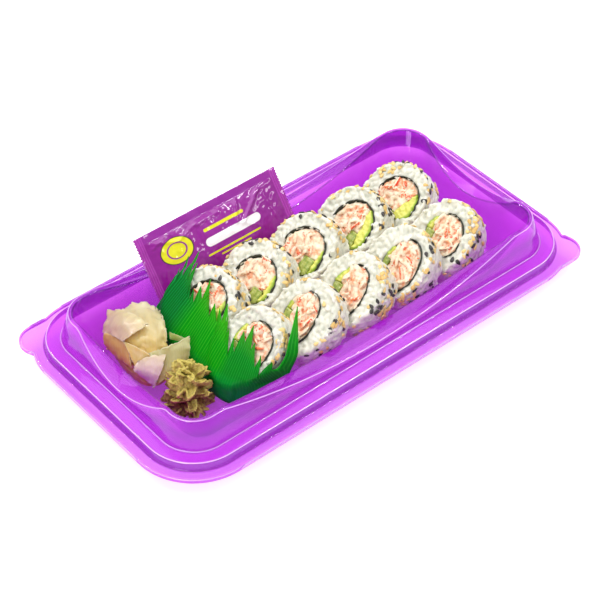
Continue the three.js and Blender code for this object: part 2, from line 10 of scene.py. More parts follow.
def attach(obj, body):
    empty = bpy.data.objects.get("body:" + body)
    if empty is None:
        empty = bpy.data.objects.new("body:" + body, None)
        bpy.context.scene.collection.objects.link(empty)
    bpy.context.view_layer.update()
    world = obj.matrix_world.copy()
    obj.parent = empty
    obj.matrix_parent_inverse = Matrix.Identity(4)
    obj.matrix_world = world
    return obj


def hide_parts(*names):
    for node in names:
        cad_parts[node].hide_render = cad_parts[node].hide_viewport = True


bl_info = {
    "name": "Takeaway sushi tray",
    "version": (1, 0, 0),
    "blender": (4, 5, 0),
    "location": "View3D > Sidebar > Sushi tray",
    "description": "Dresses a takeaway tray of inside-out rolls with rice, fillings, ginger and film",
    "category": "Object",
}

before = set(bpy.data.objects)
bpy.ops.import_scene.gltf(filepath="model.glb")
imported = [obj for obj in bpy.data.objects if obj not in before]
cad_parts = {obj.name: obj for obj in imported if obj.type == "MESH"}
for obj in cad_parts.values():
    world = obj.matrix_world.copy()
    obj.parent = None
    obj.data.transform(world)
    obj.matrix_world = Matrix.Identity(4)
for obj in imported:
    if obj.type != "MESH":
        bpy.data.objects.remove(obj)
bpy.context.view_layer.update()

MM = 0.001                      # shapes are worked out in millimetres and scaled when a mesh is made

# ---- Sizes that the solids also have, in millimetres ----
TRAY_LENGTH, TRAY_WIDTH, TRAY_CORNER = 250.0, 134.6, 31.35
FLOOR_CORNER = 10.0
FLOOR_TOP = 1.0
WALL = 0.9
RIM_Z, SKIRT_DROP, FLANGE = 10.9, 2.0, 5.4
LEDGE_RISE, LEDGE_FALL, LEDGE_INSET, RIDGE_FOOT = 4.1, 0.7, 6.3, 13.4
RIDGE_TOP, RIDGE_OUTER, RIDGE_INNER = 29.4, 17.6, 19.8
OUTER_SLOPE, INNER_SLOPE = 0.28, 0.40
LONG_DIP, LONG_REACH = 11.2, 87.3
SHORT_DIP, SHORT_REACH = 10.8, 32.2
TAB_X, TAB_Y, TAB_RADIUS = 20.5, 19.5, 10.0

ROLL_THICKNESS, ROLL_TOP, ROLL_LOW, SQUARENESS = 16.4, 19.3, 20.7, 2.1
HALF = ROLL_THICKNESS / 2
ROLL_LEAN, ROLL_TURN, ROLL_MID_Z = 54.0, -6.0, 18.88
POINT_NARROWING, POINT_SHIFT = 0.3, 2.5

# Row, number, middle (x, y), half widths to the near and far side; the nori ring's centre and half sizes
# on the cut face; where the avocado begins towards its side and how that line leans; where the cucumber
# begins towards its side, and its top.
ROLL_TABLE = [
    ("far", 1, -47.2, 13.2, 17.1, 18.7, (1.3, 0.8, 10.8, 12.0), (7.2, 0.25), (2.5, -4.0)),
    ("far", 2, -17.9, 12.6, 17.1, 18.7, (1.5, -1.0, 11.5, 12.4), (9.3, 0.0), (2.8, -3.0)),
    ("far", 3, 12.2, 12.6, 17.1, 18.7, (0.6, -1.0, 11.9, 12.8), (9.6, 0.05), (2.6, -1.2)),
    ("far", 4, 41.6, 12.6, 17.1, 18.7, (1.6, -0.8, 11.4, 13.4), (7.0, -0.15), (2.6, -2.0)),
    ("far", 5, 70.4, 12.6, 17.1, 18.7, (1.5, 0.5, 11.6, 11.5), (6.2, 0.38), (2.0, -5.0)),
    ("near", 1, -46.9, -20.8, 16.0, 16.0, (1.0, 0.2, 10.7, 11.8), (5.6, 0.0), (3.6, -2.0)),
    ("near", 2, -17.9, -22.6, 17.1, 17.1, (-1.2, -1.0, 9.2, 13.8), (7.6, 0.0), (4.6, 0.5)),
    ("near", 3, 11.4, -22.6, 17.1, 17.1, (-0.7, -1.3, 9.3, 13.8), (5.8, 0.0), (3.7, 0.2)),
    ("near", 4, 40.4, -22.6, 17.1, 17.1, (2.2, -1.0, 9.9, 14.2), (4.9, 0.0), (2.9, 1.0)),
    ("near", 5, 69.2, -22.6, 17.1, 17.1, (0.2, 0.3, 10.6, 11.6), (6.4, 0.0), (4.0, 0.5)),
]

GRASS_CLEARANCE = 1.6
GRASS_FOOT = [(-64.5, 32.2, 1.4), (-69.8, 15, 1.4), (-69.9, 0, 1.4), (-69.9, -14, 1.4),
              (-67.5, -27, 1.4), (-59, -34.6, 2.4), (-49, -37.0, 4.4), (-42, -37.1, 4.4)]
GRASS_FOLD = [(-65, 33, 13.9), (-70, 15, 13.9), (-70.1, 0, 13.9), (-70.1, -14, 13.9),
              (-67.6, -27.5, 13.9), (-59, -36.6, 13.9), (-49, -39.1, 13.9), (-42.5, -39.3, 13.9)]
GRASS_TIPS = [(-39.5, 32.2, 37), (-45.4, 16, 32.4), (-49.6, 4, 28.6), (-50.8, -10, 27),
              (-49.3, -20, 29), (-53.4, -31, 26), (-52.2, -38, 26), (-32.3, -33.2, 44)]

# Where the film is slit and where its tips end: share of the way along it, and height above its fold.
NOTCHES = [(-0.005, 0.475), (0.01, 0.525), (0.025, 0.65), (0.056, 0.70), (0.094, 0.60), (0.119, 0.60),
           (0.144, 0.625), (0.175, 0.775), (0.194, 0.925), (0.275, 0.75), (0.331, 0.80), (0.350, 0.90),
           (0.388, 0.95), (0.431, 0.725), (0.494, 0.425), (0.519, 0.55), (0.562, 0.80), (0.625, 0.775),
           (0.70, 0.55), (0.752, 0.16), (0.87, 0.29)]
TIPS = [(-0.02, 0.65), (-0.02, 0.86), (0.01, 1.05), (0.044, 0.975), (0.081, 0.725), (0.106, 0.75),
        (0.125, 0.875), (0.144, 1.075), (0.188, 0.975), (0.263, 1.0), (0.306, 1.05), (0.331, 1.225),
        (0.381, 1.1), (0.419, 0.925), (0.475, 0.80), (0.519, 0.975), (0.575, 1.175), (0.638, 1.025),
        (0.744, 1.1), (0.863, 1.025)]
# How doubled and dark the film is along it: shares of the way, and the shade there.
GRASS_SHADE = [0.0, 0.1, 0.18, 0.47, 0.52, 0.8, 0.9, 1.0], [1.0, 0.9, 0.05, 0.0, 0.5, 0.5, 0.35, 0.1]
# The last blade stands free of the film: the two notches at its foot, and guide points of its two edges.
LAST_BLADE = [(0.90, 0.24), (1.0, 0.02)]
LAST_BLADE_EDGES = [[(-49.3, -38.8, 20.4), (-43.9, -37.9, 24.3), (-40.6, -36.7, 31.0), (-37.2, -35.2, 36.5),
                     (-32.4, -32.8, 44.6)],
                    [(-42.4, -39.2, 14.5), (-37.2, -38.4, 21.1), (-35.4, -36.9, 27.0), (-34.0, -35.2, 32.3),
                     (-32.3, -32.7, 44.7)]]

# Guide points of each folded ginger slice, in rows from its upper edge to its lower edge.
GINGER_BACK = [
    [(-79.7, 37.3, 20.6), (-73.4, 36.9, 21.9), (-68.5, 32.2, 21.7), (-65.5, 26.9, 19.9)],
    [(-83.1, 30.2, 21.3), (-79.3, 26.3, 22.8), (-75.1, 20.1, 23.7), (-72.4, 13.3, 21.2)],
    [(-89.8, 22.6, 20.6), (-85.6, 15.8, 21.4), (-81.4, 9.7, 20.7), (-76.1, 7.2, 17.3)],
    [(-91.2, 16.2, 19.0), (-87.4, 9.8, 17.8), (-83.6, 6.0, 16.0), (-79.1, 5.1, 15.0)],
]
GINGER_PALE = [
    [(-83.5, 42.8, 18.9), (-80.7, 31.2, 25.3), (-79.4, 16.7, 27.1)],
    [(-89.5, 38.2, 17.9), (-87.6, 27.2, 24.3), (-85.8, 17.2, 25.2)],
    [(-92.7, 34.8, 15.8), (-92.4, 27.2, 19.3), (-92.3, 19.0, 21.9)],
]
GINGER_STRIP = [
    [(-91.8, 20.2, 21.4), (-89.0, 12.8, 21.0), (-84.9, 5.1, 17.2)],
    [(-92.7, 15.4, 19.3), (-90.5, 11.0, 17.6), (-86.5, 5.6, 15.9)],
    [(-93.4, 10.7, 15.5), (-93.3, 8.9, 14.1), (-91.8, 6.8, 13.5)],
]
GINGER_TAN = [
    [(-93.8, 32.4, 18.6), (-91.5, 25.3, 20.1), (-91.5, 17.0, 20.9)],
    [(-95.3, 30.8, 16.2), (-93.9, 23.3, 17.3), (-92.7, 13.6, 17.3)],
    [(-95.8, 28.0, 12.8), (-95.6, 18.8, 13.2), (-94.2, 10.2, 12.8)],
]
GINGER_OLIVE = [
    [(-86.3, 8.8, 18.7), (-78.2, 4.6, 20.8), (-67.0, 2.0, 22.5)],
    [(-86.1, 4.4, 16.1), (-78.0, 1.2, 17.2), (-69.3, -0.8, 19.5)],
    [(-87.4, 0.0, 12.5), (-80.5, -1.7, 13.2), (-72.2, -2.3, 14.2)],
    [(-91.6, -1.4, 7.2), (-85.1, -2.4, 10.2), (-78.7, -1.2, 11.7)],
]
GINGER_FRONT = [
    [(-91.8, 9.0, 16.7), (-86.2, 5.8, 19.0), (-81.1, 1.6, 19.7)],
    [(-94.7, 8.3, 14.2), (-90.7, 2.2, 15.8), (-86.2, -1.9, 16.1)],
    [(-92.7, 2.5, 9.9), (-92.1, -0.3, 9.4), (-92.4, -2.8, 8.6)],
]
GINGER_SCRAP = [
    [(-72.5, 10.4, 21.9), (-70.0, 7.8, 20.3), (-68.0, 4.9, 19.1)],
    [(-73.5, 9.0, 19.2), (-71.1, 7.7, 17.7), (-69.5, 5.1, 17.3)],
]
# The slices in the order in which they are laid: name, guide points, display colours of the upper and the
# lower part, share of blush, the solids that they replace and how much they ruffle.
GINGER_SLICES = [
    ("ginger_slice_back", GINGER_BACK, (240, 226, 178), (228, 184, 92), 0.0, ["ginger_4"], 1.1),
    ("ginger_slice_pale", GINGER_PALE, (230, 212, 162), (218, 182, 160), 0.1, ["ginger_5"], 0.7),
    ("ginger_slice_strip", GINGER_STRIP, (240, 204, 128), (232, 180, 98), 0.0, [], 0.5),
    ("ginger_slice_tan", GINGER_TAN, (220, 174, 102), (216, 162, 86), 0.0, [], 0.6),
    ("ginger_slice_olive", GINGER_OLIVE, (216, 208, 150), (208, 188, 124), 0.0, ["ginger_3"], 0.8),
    ("ginger_slice_front", GINGER_FRONT, (238, 208, 176), (224, 174, 200), 0.1, ["ginger_2"], 0.7),
    ("ginger_scrap", GINGER_SCRAP, (190, 206, 120), (150, 180, 90), 0.0, [], 0.4),
]

WASABI_X, WASABI_Y, WASABI_FOOT = -82.6, -14.6, 1.3

PACKET_LENGTH, PACKET_HEIGHT, PACKET_FIN, END_SEAL = 85.0, 47.7, 0.5, 4.3
PACKET_SLOPE, FRONT_BULGE, BACK_BULGE = 53.5, 4.0, 1.4
PACKET_MIDDLE = (-16.95, 40.6, 20.5)


# ---- Small helpers ----
def tint(red, green, blue):
    """A colour given as display values from 0 to 255, in the linear values that Blender works in."""
    return tuple((c / 255 / 12.92) if c < 10.3 else ((c / 255 + 0.055) / 1.055) ** 2.4
                 for c in (red, green, blue))


def lerp(a, b, share):
    return a + (b - a) * share


def ease(low, high, value):
    """0 below low, 1 above high and a smooth rise between them."""
    share = min(1.0, max(0.0, (value - low) / (high - low)))
    return share * share * (3 - 2 * share)


def ripple(x, y, z, pitch):
    """Smooth noise from -1 to 1 whose waves are about pitch millimetres long."""
    return noise.noise(Vector((x, y, z)) * (1.6 / pitch))


def guide(points, share):
    """A point on the centripetal curve through the guide points."""
    points = [Vector(p) for p in points]
    place = share * (len(points) - 1)
    i = min(int(place), len(points) - 2)
    step = place - i
    b, c = points[i:i + 2]
    a = points[i - 1] if i > 0 else b * 2 - c
    d = points[i + 2] if i + 2 < len(points) else c * 2 - b
    g0, g1, g2 = (max(math.sqrt((q - p).length), 1e-4) for p, q in ((a, b), (b, c), (c, d)))
    leave = ((b - a) / g0 - (c - a) / (g0 + g1) + (c - b) / g1) * g1
    arrive = ((c - b) / g1 - (d - b) / (g1 + g2) + (d - c) / g2) * g1
    s2, s3 = step * step, step ** 3
    return (b * (2 * s3 - 3 * s2 + 1) + leave * (s3 - 2 * s2 + step)
            + c * (3 * s2 - 2 * s3) + arrive * (s3 - s2))


# ---- Meshes ----
def skinned(rings, joined_up=False):
    """A shape skinned over rings of equal numbers of points: one circle, extruded from ring to ring.
    Its ends are capped, or its last ring is sewn to its first."""
    bm = bmesh.new()
    station = bm.verts.layers.int.new("station")
    row = bm.verts.layers.int.new("row")
    bmesh.ops.create_circle(bm, cap_ends=not joined_up, segments=len(rings[0]), radius=1)
    for i, v in enumerate(bm.verts):
        v[station] = i
        v.co = rings[0][i]
    edges = list(bm.edges)
    for k, points in enumerate(rings[1:] + rings[:1] * joined_up, 1):
        grown = bmesh.ops.extrude_edge_only(bm, edges=edges)["geom"]
        fresh = {g for g in grown if isinstance(g, bmesh.types.BMVert)}
        for v in fresh:
            v[row] = k
            v.co = points[v[station]]
        edges = [g for g in grown if isinstance(g, bmesh.types.BMEdge) and set(g.verts) <= fresh]
    if joined_up:
        bmesh.ops.remove_doubles(bm, verts=bm.verts, dist=1e-5)
    return bm


def to_millimetres(bm):
    bmesh.ops.scale(bm, vec=(1 / MM,) * 3, verts=bm.verts)


def mesh_of(bm, name):
    """Turns a shape in millimetres into a mesh in metres."""
    bmesh.ops.scale(bm, vec=(MM, MM, MM), verts=bm.verts)
    mesh = bpy.data.meshes.new(name)
    bm.to_mesh(mesh)
    bm.free()
    return mesh


def shown(name, data):
    """An object with this mesh, light or camera, linked to the scene."""
    thing = bpy.data.objects.new(name, data)
    bpy.context.scene.collection.objects.link(thing)
    return thing


def add_piece(name, mesh, material, replaced=()):
    """Shows a mesh as a piece that rides on the tray."""
    piece = shown(name, mesh)
    mesh.materials.append(material)
    mesh.shade_smooth()
    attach(piece, "root")
    if replaced:
        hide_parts(*replaced)
    return piece


def thicken(piece, thickness, offset=-1.0):
    """Gives an open sheet its thickness, in millimetres."""
    wall = piece.modifiers.new("Thickness", "SOLIDIFY")
    wall.thickness = thickness * MM
    wall.offset = offset


def even_skin(bm, voxel):
    """A shape in millimetres remade with an even skin of small faces."""
    block = shown("block", mesh_of(bm, "block"))
    remesh = block.modifiers.new("Skin", "REMESH")
    remesh.mode = "VOXEL"
    remesh.voxel_size = voxel * MM
    graph = bpy.context.evaluated_depsgraph_get()
    mesh = bpy.data.meshes.new_from_object(block.evaluated_get(graph))
    fresh = bmesh.new()
    fresh.from_mesh(mesh)
    to_millimetres(fresh)
    raw = block.data
    bpy.data.objects.remove(block)
    for used in (raw, mesh):
        bpy.data.meshes.remove(used)
    return fresh


def solid_of(node):
    """A copy of a CAD node in millimetres, with its loose triangles merged."""
    bm = bmesh.new()
    bm.from_mesh(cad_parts[node].data)
    bmesh.ops.remove_doubles(bm, verts=bm.verts, dist=1e-6)
    to_millimetres(bm)
    return bm


def soften(bm, times):
    for _ in range(times):
        bmesh.ops.smooth_vert(bm, verts=bm.verts, factor=0.5, use_axis_x=True, use_axis_y=True,
                              use_axis_z=True)


def push_out(bm, distance):
    """Moves each point along its normal by the millimetres that distance gives for it."""
    bm.normal_update()
    steps = [(v, v.normal * distance(v)) for v in bm.verts]
    for v, step in steps:
        v.co += step


def put_in_place(bm, place):
    bmesh.ops.transform(bm, matrix=place, verts=bm.verts)
    bmesh.ops.recalc_face_normals(bm, faces=bm.faces)


def shape_of(bm):
    """The points and faces of a shape, for a heap."""
    bm.verts.index_update()
    points = np.array([v.co for v in bm.verts], float)
    faces = [[v.index for v in f.verts] for f in bm.faces]
    bm.free()
    return points, faces


def ellipsoid(sides, rings):
    """A unit ball with its poles on the X axis."""
    bm = bmesh.new()
    bmesh.ops.create_uvsphere(bm, u_segments=sides, v_segments=rings, radius=1)
    bmesh.ops.rotate(bm, verts=bm.verts, cent=(0, 0, 0), matrix=Matrix.Rotation(math.pi / 2, 3, "Y"))
    return shape_of(bm)


def new_layers(bm, *names):
    """A number for each point of a shape under each name, which the material reads."""
    return [bm.verts.layers.float.new(name) for name in names]


def note(mesh, name, values):
    """Keeps a number for each point, which the material reads by its name."""
    layer = mesh.attributes.new(name, "FLOAT", "POINT")
    layer.data.foreach_set("value", np.asarray(values, np.float32))


class Heap:
    """Gathers many small shapes into one mesh. Every point keeps a mark that its material reads."""

    def __init__(self):
        self.points, self.faces, self.marks, self.count = [], [], [], 0

    def add(self, points, faces, marks):
        self.points.append(points)
        self.faces += [[k + self.count for k in face] for face in faces]
        self.marks.append(np.broadcast_to(np.asarray(marks, float), (len(points),)))
        self.count += len(points)

    def place(self, shape, size, place, bend=(0.0, 0.0), marks=0.0):
        """Adds a copy of a shape, stretched, bent along its length and put in place."""
        points = shape[0] * np.array(size)
        points[:, 1] += bend[0] * points[:, 0] ** 2
        points[:, 2] += bend[1] * points[:, 0] ** 2
        turn = np.array(place.to_3x3())
        self.add(points @ turn.T + np.array(place.translation), shape[1], marks)

    def bmesh(self):
        bm = bmesh.new()
        mesh = self.mesh("heap")
        bm.from_mesh(mesh)
        bpy.data.meshes.remove(mesh)
        to_millimetres(bm)
        return bm

    def mesh(self, name):
        mesh = bpy.data.meshes.new(name)
        mesh.from_pydata((np.concatenate(self.points) * MM).tolist(), [], self.faces)
        note(mesh, "mark", np.concatenate(self.marks))
        return mesh


def fused(heap, voxel):
    """The heap's shapes grown into one skin, whose points keep the mark of the nearest shape."""
    points, marks = np.concatenate(heap.points), np.concatenate(heap.marks)
    tree = kdtree.KDTree(len(points))
    for i, point in enumerate(points):
        tree.insert(point, i)
    tree.balance()
    bm = even_skin(heap.bmesh(), voxel)
    mark, = new_layers(bm, "mark")
    for v in bm.verts:
        v[mark] = marks[tree.find(v.co)[1]]
    soften(bm, 1)
    return bm


def note_hollows(mesh, low, high, blurs=1):
    """Marks how deep each point lies in a dent of its skin: 0 at low and 1 at high millimetres."""
    count = len(mesh.vertices)
    points, out = np.empty(count * 3), np.empty(count * 3)
    ends = np.empty(len(mesh.edges) * 2, np.int32)
    mesh.vertices.foreach_get("co", points)
    mesh.vertex_normals.foreach_get("vector", out)
    mesh.edges.foreach_get("vertices", ends)
    points, out, ends = points.reshape(-1, 3) / MM, out.reshape(-1, 3), ends.reshape(-1, 2)
    links = np.bincount(ends.ravel(), minlength=count)

    def around(values):
        total = np.zeros(count)
        np.add.at(total, ends[:, 0], values[ends[:, 1]])
        np.add.at(total, ends[:, 1], values[ends[:, 0]])
        return total / links

    dents = sum((around(points[:, k]) - points[:, k]) * out[:, k] for k in range(3))
    for _ in range(blurs):
        dents = around(dents)
    note(mesh, "hollow", np.clip((dents - low) / (high - low), 0, 1))


def note_places(mesh, place):
    """Keeps each point's place on a roll or packet, in millimetres, for its material."""
    back = place.inverted()
    spots = mesh.attributes.new("on_piece", "FLOAT_VECTOR", "POINT")
    flat = [c for v in mesh.vertices for c in back @ (v.co / MM)]
    spots.data.foreach_set("vector", flat)


def axes_to(point, along, up):
    """A place whose X runs along one direction and whose Z is as near as can be to another."""
    x = Vector(along).normalized()
    y = Vector(up).cross(x).normalized()
    z = x.cross(y)
    turn = Matrix((x, y, z)).transposed().to_4x4()
    return Matrix.Translation(point) @ turn


def spread(draw, apart, tries):
    """Points drawn one by one that keep their distance from each other."""
    kept = np.empty((tries, 2))
    count = 0
    for _ in range(tries):
        point = draw()
        if point is None:
            continue
        if count == 0 or ((kept[:count] - point) ** 2).sum(1).min() > apart ** 2:
            kept[count] = point
            count += 1
    return kept[:count]


# ---- Shader nodes ----
class Field:
    """A node's output. Arithmetic on it adds Math nodes."""

    def __init__(self, finish, socket):
        self.finish, self.socket = finish, socket

    def math(self, operation, *values, clamp=False):
        settings = {"operation": operation, "use_clamp": clamp}
        return self.finish.node("Math", settings, dict(enumerate(values)))

    def __add__(self, other):
        return self.math("ADD", self, other)

    __radd__ = __add__

    def __sub__(self, other):
        return self.math("SUBTRACT", self, other)

    def __rsub__(self, other):
        return self.math("SUBTRACT", other, self)

    def __mul__(self, other):
        return self.math("MULTIPLY", self, other)

    __rmul__ = __mul__

    def __truediv__(self, other):
        return self.math("DIVIDE", self, other)

    def __pow__(self, other):
        return self.math("POWER", self, other)

    def __abs__(self):
        return self.math("ABSOLUTE", self)

    def clamped(self):
        return self.math("ADD", self, 0.0, clamp=True)

    def rise(self, low, high):
        """0 below low and 1 above high."""
        settings = {"interpolation_type": "SMOOTHSTEP"}
        values = {"Value": self, "From Min": low, "From Max": high}
        return self.finish.node("MapRange", settings, values)


class Finish:
    """One material: its nodes and the shader that its fields feed."""

    def __init__(self, name):
        self.material = bpy.data.materials.new(name)
        self.material.use_nodes = True
        self.tree = self.material.node_tree
        self.tree.nodes.clear()

    def node(self, kind, settings=None, values=None, output=0):
        """Adds a node: its settings first, then the values or links of its sockets."""
        node = self.tree.nodes.new("ShaderNode" + kind)
        for name, value in (settings or {}).items():
            if name == "stops":
                stops = node.color_ramp.elements
                while len(stops) < len(value):
                    stops.new(1.0)
                for stop, (place, colour) in zip(stops, value):
                    stop.position = place
                    stop.color = (*colour, 1.0)
            else:
                setattr(node, name, value)
        for name, value in (values or {}).items():
            socket = node.inputs[name]
            if isinstance(value, Field):
                self.tree.links.new(value.socket, socket)
            elif socket.type == "RGBA":
                socket.default_value = (*value[:3], 1.0)
            else:
                socket.default_value = value
        return Field(self, node.outputs[output])

    def spot(self):
        """Object coordinates in millimetres."""
        place = self.node("TexCoord", output="Object")
        return self.node("VectorMath", {"operation": "SCALE"}, {0: place, "Scale": 1 / MM})

    def own(self, name):
        """A piece's own mark."""
        return self.node("Attribute", {"attribute_name": name}, output="Fac")

    def own_spot(self, stretch=(1.0, 1.0, 1.0)):
        """A point's place on its roll or packet, in millimetres, stretched for a pattern."""
        place = self.node("Attribute", {"attribute_name": "on_piece"}, output="Vector")
        return self.node("VectorMath", {"operation": "MULTIPLY"}, {0: place, 1: stretch})

    def axes(self, vector):
        return [self.node("SeparateXYZ", None, {0: vector}, output=k) for k in range(3)]

    def cloud(self, place, pitch, detail=3.0, roughness=0.55):
        """Noise from 0 to 1 whose blotches are about pitch millimetres across."""
        values = {"Vector": place, "Scale": 1 / pitch, "Detail": detail, "Roughness": roughness}
        return self.node("TexNoise", None, values)

    def mix(self, share, first, second):
        return self.node("Mix", {"data_type": "RGBA"}, {0: share, 6: first, 7: second}, output=2)

    def ramp(self, share, stops):
        return self.node("ValToRGB", {"stops": stops}, {0: share})

    def bump(self, height, distance, strength=1.0):
        """A normal raised by a height field, whose full height is distance millimetres."""
        values = {"Strength": strength, "Distance": distance * MM, "Height": height}
        return self.node("Bump", None, values)

    def surface(self, flesh=(), coat=(), **values):
        """The Principled shader, with its sockets named in lower case and underlines. Flesh gives its
        subsurface weight, radius and scale, and a coat its weight and roughness."""
        values |= zip(("subsurface_weight", "subsurface_radius", "subsurface_scale"), flesh)
        values |= zip(("coat_weight", "coat_roughness"), coat)
        words = {"ior": "IOR", "coat_ior": "Coat IOR", "specular_ior_level": "Specular IOR Level"}
        named = {words.get(k, k.replace("_", " ").title()): v for k, v in values.items()}
        return self.node("BsdfPrincipled", None, named)

    def blend(self, share, first, second):
        return self.node("MixShader", None, {0: share, 1: first, 2: second})

    def glow(self, kind, colour):
        """Light let straight through (Transparent) or spread behind a thin skin (Translucent)."""
        return self.node("Bsdf" + kind, None, {"Color": colour})

    def done(self, shader):
        output = self.tree.nodes.new("ShaderNodeOutputMaterial")
        self.tree.links.new(shader.socket, output.inputs["Surface"])
        return self.material


# ---- What a user may change ----
def stain_of(name, description, *linear):
    return bpy.props.FloatVectorProperty(name=name, description=description, subtype="COLOR", size=3,
                                         min=0, max=1, default=linear)


def colour_of(name, description, *display):
    return stain_of(name, description, *tint(*display))


def number_of(name, description, default, low=0, **more):
    return bpy.props.FloatProperty(name=name, description=description, min=low, default=default, **more)


def length_of(name, description, millimetres):
    return number_of(name, description, millimetres * MM, unit="LENGTH", precision=4)


def count_of(name, description, default):
    return bpy.props.IntProperty(name=name, description=description, min=0, default=default)


class TrayLook(bpy.types.PropertyGroup):
    edge: length_of("Edge rounding", "Width of the rounded creases of the formed sheet", 0.8)
    stain: stain_of("Stain", "What one face of the clear sheet lets through", 0.87, 0.67, 0.93)
    # Painted shade: what one face lets through where the sheet is painted deeper.
    shade_stain: stain_of("Deep stain", "What one face of it lets through where the stain looks deep",
                         0.80, 0.34, 0.90)
    body: colour_of("Body", "Colour of the sheet itself", 192, 30, 214)
    # Painted shade: the darker colour of steep and folded parts.
    fold: colour_of("Fold", "Colour of the sheet where it is steep or folded", 128, 8, 165)
    # Painted highlight: the light colour drawn along rounded creases, standing in for the light that they
    # catch.
    highlight_colour: colour_of("Crest", "Colour of the sheet where an edge is drawn thin", 240, 205, 255)
    body_share: number_of("Body share", "How much of the sheet is body rather than clear", 0.05,
                          subtype="FACTOR", max=1)


class RollLook(bpy.types.PropertyGroup):
    grain_length: length_of("Grain length", "Length of a cooked grain", 6.2)
    grain_width: length_of("Grain width", "Width of a cooked grain", 2.5)
    grain_spacing: length_of("Grain spacing", "Least distance between the middles of two grains", 2.15)
    rice: colour_of("Rice", "Colour of the rice", 238, 234, 220)
    # Rice shade is both a darker tone of the rice and the painted shade between the grains.
    rice_shade: colour_of("Rice shade", "Colour of the rice between the grains", 178, 184, 166)
    nori: colour_of("Nori", "Colour of the seaweed sheet", 30, 32, 20)
    nori_thickness: length_of("Nori thickness", "Thickness of the seaweed sheet", 0.45)
    black_seeds: count_of("Black seeds", "Black sesame seeds per roll", 14)
    tan_seeds: count_of("Tan seeds", "Tan sesame seeds per roll", 46)


class FillingLook(bpy.types.PropertyGroup):
    shreds: count_of("Shreds", "Crab shreds on the front cut face", 60)
    crab: colour_of("Crab", "Colour of the crab", 246, 219, 188)
    crab_skin: colour_of("Crab skin", "Colour of the red edge of a shred", 224, 58, 18)
    avocado: colour_of("Avocado", "Colour of the avocado's middle", 218, 218, 104)
    avocado_rim: colour_of("Avocado rim", "Colour of the avocado near its skin", 152, 184, 44)
    cucumber: colour_of("Cucumber", "Colour of the cucumber's flesh", 170, 178, 84)
    cucumber_skin: colour_of("Cucumber skin", "Colour of the cucumber's skin", 52, 78, 14)


class GrassLook(bpy.types.PropertyGroup):
    thickness: length_of("Thickness", "Thickness of the film", 0.3)
    rib_pitch: length_of("Rib pitch", "Distance from one rib to the next", 1.4)
    rib_depth: length_of("Rib depth", "Height of a rib", 0.3)
    bright: colour_of("Bright", "Colour of the film in the light", 0, 150, 8)
    deep: colour_of("Deep", "Colour of the film where it is doubled", 0, 108, 36)
    tips: colour_of("Tips", "Colour of the thin tips", 96, 188, 30)


class GingerLook(bpy.types.PropertyGroup):
    thickness: length_of("Thickness", "Thickness of a slice", 0.6)
    blush: colour_of("Blush", "Colour where the dye shows", 226, 172, 160)


class WasabiLook(bpy.types.PropertyGroup):
    fresh: colour_of("Fresh", "Colour of the ridges", 172, 158, 76)
    # Painted shade in the hollows, and the darker, browner colour towards the foot.
    shade_and_foot: colour_of("Dry", "Colour of the hollows and the dried foot", 106, 58, 46)


class PacketLook(bpy.types.PropertyGroup):
    film: colour_of("Film", "Colour of the film", 142, 8, 142)
    film_low: colour_of("Lower film", "Colour of the film along its lower edge", 84, 6, 100)
    strip: colour_of("Strip", "Colour of the seals along the edges", 150, 30, 156)
    badge: colour_of("Badge", "Colour of the plain oval badge", 226, 222, 20)
    print_pale: colour_of("Pale print", "Colour of the pale bars", 250, 246, 250)


class StageLook(bpy.types.PropertyGroup):
    floor: colour_of("Floor", "Colour of the floor", 244, 244, 244)
    sky: number_of("Sky", "Strength of the even light all round", 0.42)
    key: number_of("Key", "Power of the soft light overhead", 11.5, unit="POWER")
    fill: number_of("Fill", "Power of the lights at the sides", 2.0, unit="POWER")
    glint: number_of("Glint", "Power of the narrow lights that edge the plastic", 3.5, unit="POWER")
    focal_length: number_of("Focal length", "Focal length of the lens", 119.64, low=1, unit="CAMERA")


LOOKS = {"tray": TrayLook, "roll": RollLook, "filling": FillingLook, "grass": GrassLook,
         "ginger": GingerLook, "wasabi": WasabiLook, "packet": PacketLook, "stage": StageLook}


def look(kind):
    return getattr(bpy.context.scene, "sushi_" + kind)


# ---- Tray ----
# Points on a corner and on a short side. A corner with a tab and a long side have twice as many.
CORNER_STEPS, SIDE_STEPS = 22, 28
FLOOR_STRIP, FLOOR_BEND, LOW_WALL_Z, FLANGE_EDGE = 14.0, 2.4, 6.0, 1.6
CREASE_STEPS, SHEET = 4, WALL - 0.1


def tray_stations():
    """Places once round the tray: a turn on a corner, or a share of the way along a side."""
    stations = []
    for sx, sy, start in ((1, 1, 0), (-1, 1, 90), (-1, -1, 180), (1, -1, 270)):
        tab = sx * sy < 0
        steps = CORNER_STEPS * 2 if tab else CORNER_STEPS
        stations += [("corner", sx, sy, tab, math.radians(start + 90 * i / steps))
                     for i in range(steps + 1)]
        long_side = sx * sy > 0
        steps = SIDE_STEPS * 2 if long_side else SIDE_STEPS
        for i in range(1, steps):
            share = 1 - 2 * i / steps
            stations.append(("long", share * sx, sy) if long_side else ("short", sx, share * sy))
    return stations


def inset_point(station, inset):
    """Where a station lies on the loop that runs inset millimetres inside the tray's outline."""
    radius = max(TRAY_CORNER - inset, FLOOR_CORNER)
    hx, hy = TRAY_LENGTH / 2 - inset - radius, TRAY_WIDTH / 2 - inset - radius
    if station[0] == "corner":
        _, sx, sy, _, angle = station
        return sx * hx + radius * math.cos(angle), sy * hy + radius * math.sin(angle)
    _, a, b = station
    if station[0] == "long":
        return a * hx, b * (hy + radius)
    return a * (hx + radius), b * hy


